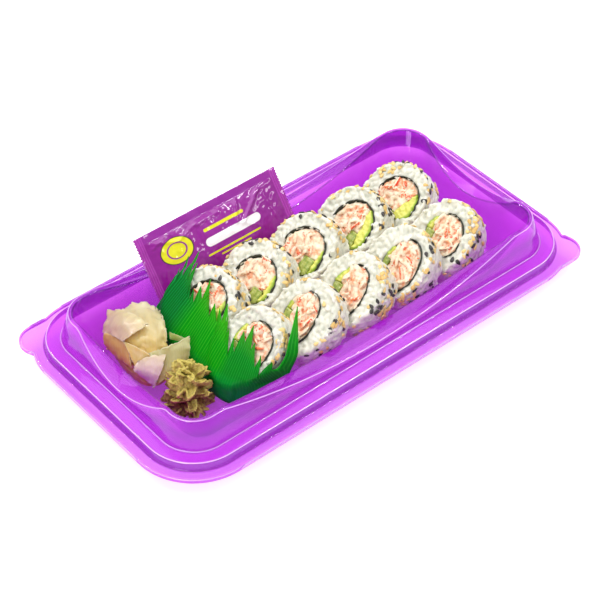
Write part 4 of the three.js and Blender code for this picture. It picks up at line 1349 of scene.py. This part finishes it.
def make_grass():
    p = look("grass")
    low_rows, mid_rows, blade_rows = FILM_ROWS
    rows = low_rows + mid_rows + blade_rows
    rnd = random.Random(41)
    bm = bmesh.new()
    height, shade, rib_top = new_layers(bm, "height", "shade", "rib_top")
    rib = bm.verts.layers.int.new("rib")
    # A blade stands between two notches and has a tip. The film before the last blade has none.
    blades = [*zip(NOTCHES, NOTCHES[1:], TIPS), (NOTCHES[-1], LAST_BLADE[0], None), (*LAST_BLADE, "last")]
    for left, right, tip in blades:
        width = (film(right[0], 0) - film(left[0], 0)).length
        columns = 2 * max(1, round(width / (p.rib_pitch / MM)))
        steps = rows if tip else low_rows + mid_rows
        lean = rnd.uniform(-0.5, 1.4)
        made = bmesh.ops.create_grid(bm, x_segments=columns, y_segments=steps, size=0.5)["verts"]
        for v in made:
            u, level = v.co.x + 0.5, round((v.co.y + 0.5) * steps)
            v[rib] = round(u * columns) % 2
            v[rib_top] = 1.0 - v[rib]
            along, top = lerp(left[0], right[0], u), lerp(left[1], right[1], u)
            if level <= low_rows:
                rise = level / low_rows - 1
                v.co = film(along, rise)
            elif level <= low_rows + mid_rows:
                rise = top * (level - low_rows) / mid_rows
                v.co = film(along, rise)
            else:
                up = (level - low_rows - mid_rows) / blade_rows
                if tip == "last":
                    rise = lerp(top, 1.05, up)
                    v.co = guide(LAST_BLADE_EDGES[0], up).lerp(guide(LAST_BLADE_EDGES[1], up), u)
                else:
                    breadth = (right[0] - left[0]) * max(0.01, 1 - up ** 1.25)
                    along = lerp((left[0] + right[0]) / 2, tip[0], up) + (u - 0.5) * breadth
                    rise = lerp(top, tip[1], up)
                    v.co = film(along, rise) + BLADE_LEAN * (lean * up ** 1.5)
            v[height] = 0.35 + 0.3 * rise if rise < 0 else 0.35 + 0.65 * rise
            v[shade] = float(np.interp(along, *GRASS_SHADE))
    bmesh.ops.remove_doubles(bm, verts=bm.verts, dist=0.02)
    bmesh.ops.recalc_face_normals(bm, faces=bm.faces)
    depth = p.rib_depth / MM / 2
    push_out(bm, lambda v: depth if v[rib] else -depth)
    piece = add_piece("grass_blades", mesh_of(bm, "grass_blades"), grass_film(),
                      ["grass_divider"])
    thicken(piece, p.thickness / MM, 0.0)


# ---- Ginger ----
SLICE_COLUMNS, SLICE_ROWS = 48, 44
HEAP_SKIN, HEAP_SINK = 0.7, 0.9


def sliced_ginger(name, upper, lower, blush):
    """Thin wet flesh with fine fibres, paler along its edges, where it is lit through."""
    p = look("ginger")
    f = Finish(name)
    spot = f.spot()
    u, v = f.own("along"), f.own("across")
    cloud = f.cloud(spot, 7.0, 3.0)
    base = f.mix((v * 1.2 + 0.5 * cloud - 0.25).clamped(), upper, lower)
    base = f.mix(cloud.rise(0.4, 0.8) * blush, base, p.blush)
    fibre = f.node("CombineXYZ", None, {0: u * 34.0, 1: v * 2.5, 2: 0.0})
    thread = f.node("TexNoise", None, {"Vector": fibre, "Scale": 1.0, "Detail": 3.0})
    base = f.mix(thread.rise(0.45, 0.75) * 0.3, base, tint(240, 226, 184))
    base = f.mix(f.own("rim").rise(0.2, 1.0) * 0.4, base, tint(246, 232, 196))
    normal = f.bump(thread + 0.5 * f.cloud(spot, 1.1, 3.0), 0.4, 0.5)
    flesh = f.surface(base_color=base, roughness=0.24 + 0.18 * thread, normal=normal,
                      flesh=(0.6, (1.0, 0.75, 0.4), 0.004), coat=(0.35, 0.15))
    return f.done(f.blend(0.22, flesh, f.glow("Translucent", tint(250, 214, 150))))


def patch(rows, u, v):
    """A point on the smooth sheet through rows of guide points."""
    return guide([guide(row, u) for row in rows], v)


def add_slice(name, rows, material, replaced, ruffle, seed):
    """One folded slice: its edges are ragged and ruffle more than its middle."""
    bm = bmesh.new()
    u_mark, v_mark, rim = new_layers(bm, "along", "across", "rim")
    bmesh.ops.create_grid(bm, x_segments=SLICE_COLUMNS, y_segments=SLICE_ROWS, size=0.5)
    for v in bm.verts:
        u, w = v.co.x + 0.5, 0.5 - v.co.y
        v[u_mark], v[v_mark] = u, w
        edge = max(abs(u - 0.5), abs(w - 0.5)) * 2
        v[rim] = ease(0.92, 1.0, edge)
        ragged = (0.05 * noise.noise(Vector((u * 6, w * 6, seed)))
                  + 0.035 * noise.noise(Vector((u * 21, w * 21, seed)))) * edge ** 4
        v.co = patch(rows, *(min(1, max(0, lerp(s, 0.5, 2 * ragged + 0.02))) for s in (u, w)))
    bmesh.ops.recalc_face_normals(bm, faces=bm.faces)

    def ruffled(v):
        edge = max(abs(v[u_mark] - 0.5), abs(v[v_mark] - 0.5)) * 2
        sway = ripple(v.co.x + seed * 40, v.co.y, v.co.z, 5.0)
        fine = ripple(v.co.x, v.co.y + seed * 40, v.co.z, 2.0)
        return ruffle * ((0.35 + 1.1 * edge ** 4) * sway + 0.5 * fine * edge ** 6)

    push_out(bm, ruffled)
    piece = add_piece(name, mesh_of(bm, name), material, replaced)
    thicken(piece, look("ginger").thickness / MM, 0.0)


def heap_layers(v):
    """The layers of the heap, which is sunk a little under the slices."""
    layer = math.sin(2.4 * v.co.z + 2.0 * ripple(v.co.x, v.co.y, 0, 9.0))
    return 0.5 * layer + 0.5 * ripple(*v.co, 5.0) - HEAP_SINK


def make_ginger():
    bm = even_skin(solid_of("ginger_1"), HEAP_SKIN)
    soften(bm, 3)
    push_out(bm, heap_layers)
    u_mark, v_mark = new_layers(bm, "along", "across")
    for v in bm.verts:
        v[u_mark], v[v_mark] = v.co.x / 40 % 1, v.co.z / 18
    add_piece("ginger_heap", mesh_of(bm, "ginger_heap"),
              sliced_ginger("heap_ginger", tint(226, 190, 124), tint(230, 196, 132), 0.1),
              ["ginger_1"])
    for seed, (name, rows, upper, lower, blush, replaced, ruffle) in enumerate(GINGER_SLICES, 1):
        material = sliced_ginger(name.split("_")[-1] + "_ginger", tint(*upper), tint(*lower), blush)
        add_slice(name, rows, material, replaced, ruffle, seed)


# ---- Wasabi ----
# Each tier of the rosette: how many leaves, height of their roots, reach, rise of their tips.
WASABI_TIERS = [(9, 2.4, 12.4, 0.4), (8, 5.8, 12.4, 2.4), (7, 9.6, 11.0, 4.4), (5, 14.0, 8.0, 6.2),
                (3, 17.4, 4.4, 5.6)]
# The lumps inside the leaves: half sizes, the height first, and middle.
WASABI_CORE = [((9.0, 5.6, 5.6), (1.1, 0.9, 8.4)), ((2.4, 9.0, 9.0), (0, 0, 2.4))]
WASABI_LEAN, WASABI_SKIN = (0.16, 0.14), 0.36
# Where the divider's film stands beside the wasabi, and the height above which it leans away.
FILM_X, FILM_FOLD_Z = -70.9, 13.9


def piped_wasabi():
    p = look("wasabi")
    f = Finish("piped_wasabi")
    spot = f.spot()
    z = f.axes(spot)[2]
    crumb = f.cloud(spot, 1.3, 4.0, 0.6)
    # Painted shade: the hollows are coloured darker, and the rosette grows darker and browner towards its
    # foot.
    foot = 1 - ((z - 2.0) / 12.0).clamped()
    share = (f.own("hollow") * 0.7 + foot * 0.8 + crumb * 0.5 + f.cloud(spot, 7.0) * 0.6 - 0.75).clamped()
    base = f.ramp(share, [(0.0, tint(200, 182, 90)), (0.3, p.fresh), (0.62, tint(150, 116, 56)),
                          (1.0, p.shade_and_foot)])
    normal = f.bump(crumb + 0.4 * f.cloud(spot, 0.45, 3.0), 0.45, 0.8)
    return f.done(f.surface(base_color=base, roughness=0.5 + 0.2 * crumb, normal=normal,
                            flesh=(0.15, (1.0, 0.8, 0.3), 0.001)))


def wasabi_crumb(v):
    x, y, z = v.co
    return 0.5 * ripple(x, y, z, 3.2) + 0.36 * ripple(x, y, z + 50, 1.3) + 0.2 * ripple(x, y + 50, z, 0.8)


def make_wasabi():
    rnd = random.Random(23)
    leaf = ellipsoid(14, 12)
    heap = Heap()
    middle = Matrix.Translation((WASABI_X, WASABI_Y, WASABI_FOOT))
    upright = Matrix.Rotation(math.pi / 2, 4, "Y")
    for size, spot in WASABI_CORE:
        heap.place(leaf, size, middle @ Matrix.Translation(spot) @ upright)
    for tier, (leaves, root, reach, rise) in enumerate(WASABI_TIERS):
        lean = Vector((*WASABI_LEAN, 0)) * root
        for i in range(leaves):
            turn = 2 * math.pi * (i + 0.5 * (tier % 2)) / leaves + rnd.uniform(-0.28, 0.28)
            far = reach * rnd.uniform(0.82, 1.08)
            out = Vector((math.cos(turn), math.sin(turn), 0))
            far *= 1 + 0.14 * max(0.0, 0.3 * out.x - 0.95 * out.y)
            along = out + Vector((0, 0, rise / far + rnd.uniform(-0.25, 0.25)))
            centre = lean + out * far * 0.55 + Vector((0, 0, root + rise * 0.5 + rnd.uniform(-0.8, 0.8)))
            twist = Matrix.Rotation(rnd.choice((-1, 1)) * rnd.uniform(0.35, 1.25), 4, "X")
            place = middle @ axes_to(centre, along, (0, 0, 1)) @ twist
            size = (far * 0.48, rnd.uniform(2.8, 4.2), rnd.uniform(0.6, 0.8))
            heap.place(leaf, size, place, (rnd.uniform(-0.06, 0.06), rnd.uniform(-0.07, 0.04)))
            crimp = Matrix.Rotation(rnd.uniform(0.8, 1.4), 4, "X") @ Matrix.Translation((0.8, 0, 1.0))
            heap.place(leaf, (size[0] * 0.8, 2.2, 0.5), place @ crimp, (rnd.uniform(-0.06, 0.06), 0.03))
    bm = even_skin(heap.bmesh(), WASABI_SKIN)
    soften(bm, 1)
    push_out(bm, wasabi_crumb)
    for v in bm.verts:
        v.co.z = max(v.co.z, WASABI_FOOT - 0.2)
        v.co.x = min(v.co.x, FILM_X + max(0.0, v.co.z - FILM_FOLD_Z))
    mesh = mesh_of(bm, "wasabi_rosette")
    note_hollows(mesh, low=-0.05, high=0.07, blurs=2)
    add_piece("wasabi_rosette", mesh, piped_wasabi(), ["wasabi"])


# ---- Sauce packet ----
PACKET_PLACE = Matrix.Translation(PACKET_MIDDLE) @ Matrix.Rotation(math.radians(PACKET_SLOPE), 4, "X")
TOOTH, TOOTH_DEPTH, TOOTH_BAND, TOP_SEAL = 1.5, 0.75, 0.9, 4.2
PACKET_COLUMNS, PACKET_ROWS = 150, 128
BADGE_X, BADGE_Y, BADGE_HALF_X, BADGE_HALF_Y = -24.4, 10.4, 8.9, 6.4
# Printed bars with round ends: middle, half length, half height and colour.
BARS = [(7.0, 6.6, 16.5, 2.1, "print_pale"), (4.0, 12.6, 12.0, 0.8, "badge"),
        (5.0, 1.0, 16.0, 0.45, "badge"), (5.0, -1.2, 9.0, 0.4, "badge")]
# Creases of the film: from (x, y) to (x, y) on the packet, height and half width.
CREASES = [
    ((-36, 19), (-22, 14), 0.7, 0.9), ((-22, 14), (-10, 17.5), 0.6, 0.8), ((-10, 17), (4, 17.5), 0.6, 1.0),
    ((-35, 16), (-27, 19), 0.5, 0.7), ((28, 18), (14, 8), 1.2, 0.9), ((15, 19), (10, 9), 1.0, 0.9),
    ((12, 8), (20, 3), 0.7, 1.0), ((30, 15), (34, -8), 0.6, 1.0), ((-34, 4), (-36, -14), 0.5, 1.3),
    ((-30, -12), (-12, -15), 0.4, 1.6), ((5, -14), (28, -12), 0.4, 1.8), ((22, 16), (33, 19), 0.45, 0.9),
]


def crease_height(x, y):
    total = 0.0
    for (ax, ay), (bx, by), height, width in CREASES:
        dx, dy = bx - ax, by - ay
        share = max(0.0, min(1.0, ((x - ax) * dx + (y - ay) * dy) / (dx * dx + dy * dy)))
        gap = math.hypot(x - ax - share * dx, y - ay - share * dy)
        total += height * math.exp(-(gap / width) ** 2)
    return total


def packet_film():
    """Printed film: fields of colour, crimped ends and a hard, wrinkled gloss."""
    p = look("packet")
    f = Finish("packet_film")
    spot = f.own_spot()
    x, y, z = f.axes(spot)
    front = z.rise(-0.1, 0.1)
    cloud = f.cloud(spot, 16.0, 2.0)
    base = f.mix((y + 8.0 * cloud).rise(-21.0, 4.0), p.film_low, p.film)
    # The badge's ovals from the outside in: reach, blur of the edge and colour.
    ovals = [(1.0, 0.03, tint(30, 20, 34)), (0.94, 0.02, p.badge), (0.62, 0.03, p.film),
             (0.52, 0.03, p.badge)]
    away = (((x - BADGE_X) / BADGE_HALF_X) ** 2 + ((y - BADGE_Y) / BADGE_HALF_Y) ** 2) ** 0.5
    for reach, blur, colour in ovals:
        inside = 1 - (away - reach).rise(-blur, blur)
        base = f.mix(inside * front, base, colour)
    for cx, cy, half_x, half_y, colour in BARS:
        past = abs(x - cx) - (half_x - half_y)
        away = (past.math("MAXIMUM", past, 0.0) ** 2 + (y - cy) ** 2) ** 0.5
        inside = 1 - (away - half_y).rise(-0.12, 0.12)
        base = f.mix(inside * front, base, getattr(p, colour))
    top = (y - (PACKET_HEIGHT / 2 - TOP_SEAL)).rise(-0.2, 0.2)
    base = f.mix(top, base, p.strip)
    ends = (abs(x) - (PACKET_LENGTH / 2 - END_SEAL)).rise(-0.3, 0.3)
    wave = x * 5.2
    crimp = wave.math("SINE", wave) * ends
    # The end seals are a lighter film. The stripes across them that follow the crimp are painted light and
    # shade.
    base = f.mix(ends * (0.6 + 0.3 * crimp), base, tint(184, 60, 184))
    wrinkle = f.cloud(spot, 9.0, 2.0, 0.5)
    normal = f.bump(crimp * 0.3 + wrinkle, 0.35, 0.9)
    return f.done(f.surface(base_color=base, roughness=0.3 + 0.14 * cloud, normal=normal,
                            specular_ior_level=0.25, coat=(1.0, 0.03)))


def make_packet():
    bm = bmesh.new()
    bmesh.ops.create_grid(bm, x_segments=PACKET_COLUMNS, y_segments=PACKET_ROWS, size=0.5)
    front_layer = bm.verts.layers.int.new("front")
    grown = bmesh.ops.extrude_face_region(bm, geom=bm.faces[:])["geom"]
    for v in grown:
        if isinstance(v, bmesh.types.BMVert):
            v[front_layer] = 1
    ends = END_SEAL / PACKET_LENGTH
    top = 1 - TOP_SEAL / PACKET_HEIGHT
    for v in bm.verts:
        u, w = v.co.x + 0.5, v.co.y + 0.5
        x, y = (u - 0.5) * PACKET_LENGTH, (w - 0.5) * PACKET_HEIGHT
        inner = min(1.0, max(0.0, (u - ends) / (1 - 2 * ends)))
        upward = min(1.0, w / top)
        rise = max(0.0, math.sin(math.pi * inner)) ** 0.55
        rise *= max(0.0, math.sin(math.pi * upward ** 1.6)) ** 0.75
        if abs(x) > PACKET_LENGTH / 2 - TOOTH_BAND:
            wave = abs((y / TOOTH) % 1 - 0.5) * 2
            x -= math.copysign(TOOTH_DEPTH * wave, x)
        inside = min(1.0, 6 * rise)
        dents = inside * (crease_height(x, y) + 0.5 * ripple(x, y, 3, 9.0) + 0.22 * ripple(x, y, 9, 3.5))
        ripples = (1 - inside) * 0.25 * ripple(x, y, 20, 7.0)
        if v[front_layer]:
            z = PACKET_FIN / 2 + FRONT_BULGE * rise * 0.92 + dents * 0.8 + ripples
        else:
            z = -PACKET_FIN / 2 - BACK_BULGE * rise - 0.3 * dents + ripples
        v.co = Vector((x, y, z))
    put_in_place(bm, PACKET_PLACE)
    mesh = mesh_of(bm, "packet_pillow")
    note_places(mesh, PACKET_PLACE)
    add_piece("packet_pillow", mesh, packet_film(), ["sauce_packet"])


# ---- Stage ----
CAMERA_AZIMUTH, CAMERA_RISE, CAMERA_ROLL = -39.475, 43.244, -0.476
CAMERA_DISTANCE, CAMERA_SHIFT, CAMERA_AIM_Z, SENSOR = 944.071, (-2.912, -3.968), 10.9, 36
GROUND_REACH, GROUND_DROP = 2500, 0.3


def make_camera(lens):
    a, e, r = (math.radians(d) for d in (CAMERA_AZIMUTH, CAMERA_RISE, CAMERA_ROLL))
    back = Vector((math.sin(a) * math.cos(e), -math.cos(a) * math.cos(e), math.sin(e)))
    level = Vector((math.cos(a), math.sin(a), 0))
    over = back.cross(level)
    right = level * math.cos(r) + over * math.sin(r)
    up = over * math.cos(r) - level * math.sin(r)
    spot = back * CAMERA_DISTANCE + right * CAMERA_SHIFT[0] + up * CAMERA_SHIFT[1]
    spot += Vector((0, 0, CAMERA_AIM_Z))
    data = bpy.data.cameras.new("camera")
    data.lens, data.sensor_width = lens, SENSOR
    data.clip_start, data.clip_end = 0.05, 10
    camera = shown("camera", data)
    camera.matrix_world = Matrix.Translation(spot * MM) @ Matrix((right, up, back)).transposed().to_4x4()
    bpy.context.scene.camera = camera


def soft_light(name, spot, size, power):
    """A soft light that faces the tray."""
    data = bpy.data.lights.new(name, "AREA")
    data.shape, data.size, data.size_y = "RECTANGLE", size[0], size[1]
    data.energy = power
    turn = Vector(spot).to_track_quat("Z", "Y").to_matrix().to_4x4()
    shown(name, data).matrix_world = Matrix.Translation(spot) @ turn


def plain_floor():
    p = look("stage")
    f = Finish("plain_floor")
    cloud = f.cloud(f.spot(), 60.0, 2.0)
    base = f.mix(0.03 * cloud, p.floor, tint(225, 225, 225))
    return f.done(f.surface(base_color=base, roughness=0.9, specular_ior_level=0.1,
                            emission_color=(1, 1, 1), emission_strength=0.5))


def make_stage():
    p = look("stage")
    bm = bmesh.new()
    bmesh.ops.create_grid(bm, x_segments=2, y_segments=2, size=GROUND_REACH)
    bmesh.ops.translate(bm, vec=(0, 0, -GROUND_DROP), verts=bm.verts)
    floor = shown("floor", mesh_of(bm, "floor"))
    floor.data.materials.append(plain_floor())
    world = bpy.data.worlds.new("studio")
    world.use_nodes = True
    background = world.node_tree.nodes["Background"].inputs
    background["Color"].default_value = (1, 1, 1, 1)
    background["Strength"].default_value = p.sky
    bpy.context.scene.world = world
    soft_light("overhead", (-0.1, 0.25, 1.45), (1.5, 1.3), p.key)
    soft_light("left_panel", (-1.0, -0.45, 0.6), (0.5, 0.5), p.fill * 2.5)
    soft_light("right_strip", (0.9, -0.75, 0.75), (0.7, 0.1), p.fill)
    soft_light("back_panel", (0.53, 0.65, 0.8), (0.45, 0.45), p.glint * 0.4)
    soft_light("long_glint", (0.56, -0.2, 1.05), (0.7, 0.02), p.glint)
    soft_light("short_glint", (-0.12, 0.67, 0.98), (0.02, 0.6), p.glint)
    bpy.context.scene.view_settings.view_transform = "Standard"
    make_camera(p.focal_length)


# ---- Operators and panel ----
class SUSHI_OT_stage(bpy.types.Operator):
    """Make the floor, the soft lights and the camera"""
    bl_idname = "sushi.stage"
    bl_label = "Stage"

    def execute(self, context):
        make_stage()
        return {"FINISHED"}


class SUSHI_OT_tray(bpy.types.Operator):
    """Form the clear stained tray"""
    bl_idname = "sushi.tray"
    bl_label = "Tray"

    def execute(self, context):
        make_tray()
        return {"FINISHED"}


class SUSHI_OT_rice(bpy.types.Operator):
    """Press rice grains and sesame seeds round the rolls"""
    bl_idname = "sushi.rice"
    bl_label = "Rice and seeds"

    def execute(self, context):
        make_rice()
        return {"FINISHED"}


class SUSHI_OT_nori(bpy.types.Operator):
    """Roll the seaweed sheets"""
    bl_idname = "sushi.nori"
    bl_label = "Nori"

    def execute(self, context):
        make_nori()
        return {"FINISHED"}


class SUSHI_OT_fillings(bpy.types.Operator):
    """Fill the rolls with crab, avocado and cucumber"""
    bl_idname = "sushi.fillings"
    bl_label = "Fillings"

    def execute(self, context):
        make_fillings()
        return {"FINISHED"}


class SUSHI_OT_grass(bpy.types.Operator):
    """Cut and fold the grass divider"""
    bl_idname = "sushi.grass"
    bl_label = "Grass divider"

    def execute(self, context):
        make_grass()
        return {"FINISHED"}


class SUSHI_OT_ginger(bpy.types.Operator):
    """Fold the ginger slices over their heap"""
    bl_idname = "sushi.ginger"
    bl_label = "Ginger"

    def execute(self, context):
        make_ginger()
        return {"FINISHED"}


class SUSHI_OT_wasabi(bpy.types.Operator):
    """Pipe the wasabi rosette"""
    bl_idname = "sushi.wasabi"
    bl_label = "Wasabi"

    def execute(self, context):
        make_wasabi()
        return {"FINISHED"}


class SUSHI_OT_packet(bpy.types.Operator):
    """Seal and wrinkle the sauce packet"""
    bl_idname = "sushi.packet"
    bl_label = "Sauce packet"

    def execute(self, context):
        make_packet()
        return {"FINISHED"}


OPERATORS = [SUSHI_OT_stage, SUSHI_OT_tray, SUSHI_OT_rice, SUSHI_OT_nori, SUSHI_OT_fillings,
             SUSHI_OT_grass, SUSHI_OT_ginger, SUSHI_OT_wasabi, SUSHI_OT_packet]


class SUSHI_PT_panel(bpy.types.Panel):
    """The tray's pieces and what may be changed about them"""
    bl_idname = "SUSHI_PT_panel"
    bl_label = "Sushi tray"
    bl_space_type = "VIEW_3D"
    bl_region_type = "UI"
    bl_category = "Sushi tray"

    def draw(self, context):
        layout = self.layout
        for operator in OPERATORS:
            layout.operator(operator.bl_idname)
        for kind, group in LOOKS.items():
            box = layout.box()
            box.label(text=kind.capitalize())
            for name in group.__annotations__:
                box.prop(look(kind), name)


def register():
    for kind, group in LOOKS.items():
        bpy.utils.register_class(group)
        setattr(bpy.types.Scene, "sushi_" + kind, bpy.props.PointerProperty(type=group))
    for cls in [*OPERATORS, SUSHI_PT_panel]:
        bpy.utils.register_class(cls)


def unregister():
    for cls in [SUSHI_PT_panel, *reversed(OPERATORS)]:
        bpy.utils.unregister_class(cls)
    for kind, group in reversed(LOOKS.items()):
        delattr(bpy.types.Scene, "sushi_" + kind)
        bpy.utils.unregister_class(group)


def main():
    register()
    for operator in OPERATORS:
        area, name = operator.bl_idname.split(".")
        getattr(getattr(bpy.ops, area), name)()


if __name__ == "__main__":
    main()
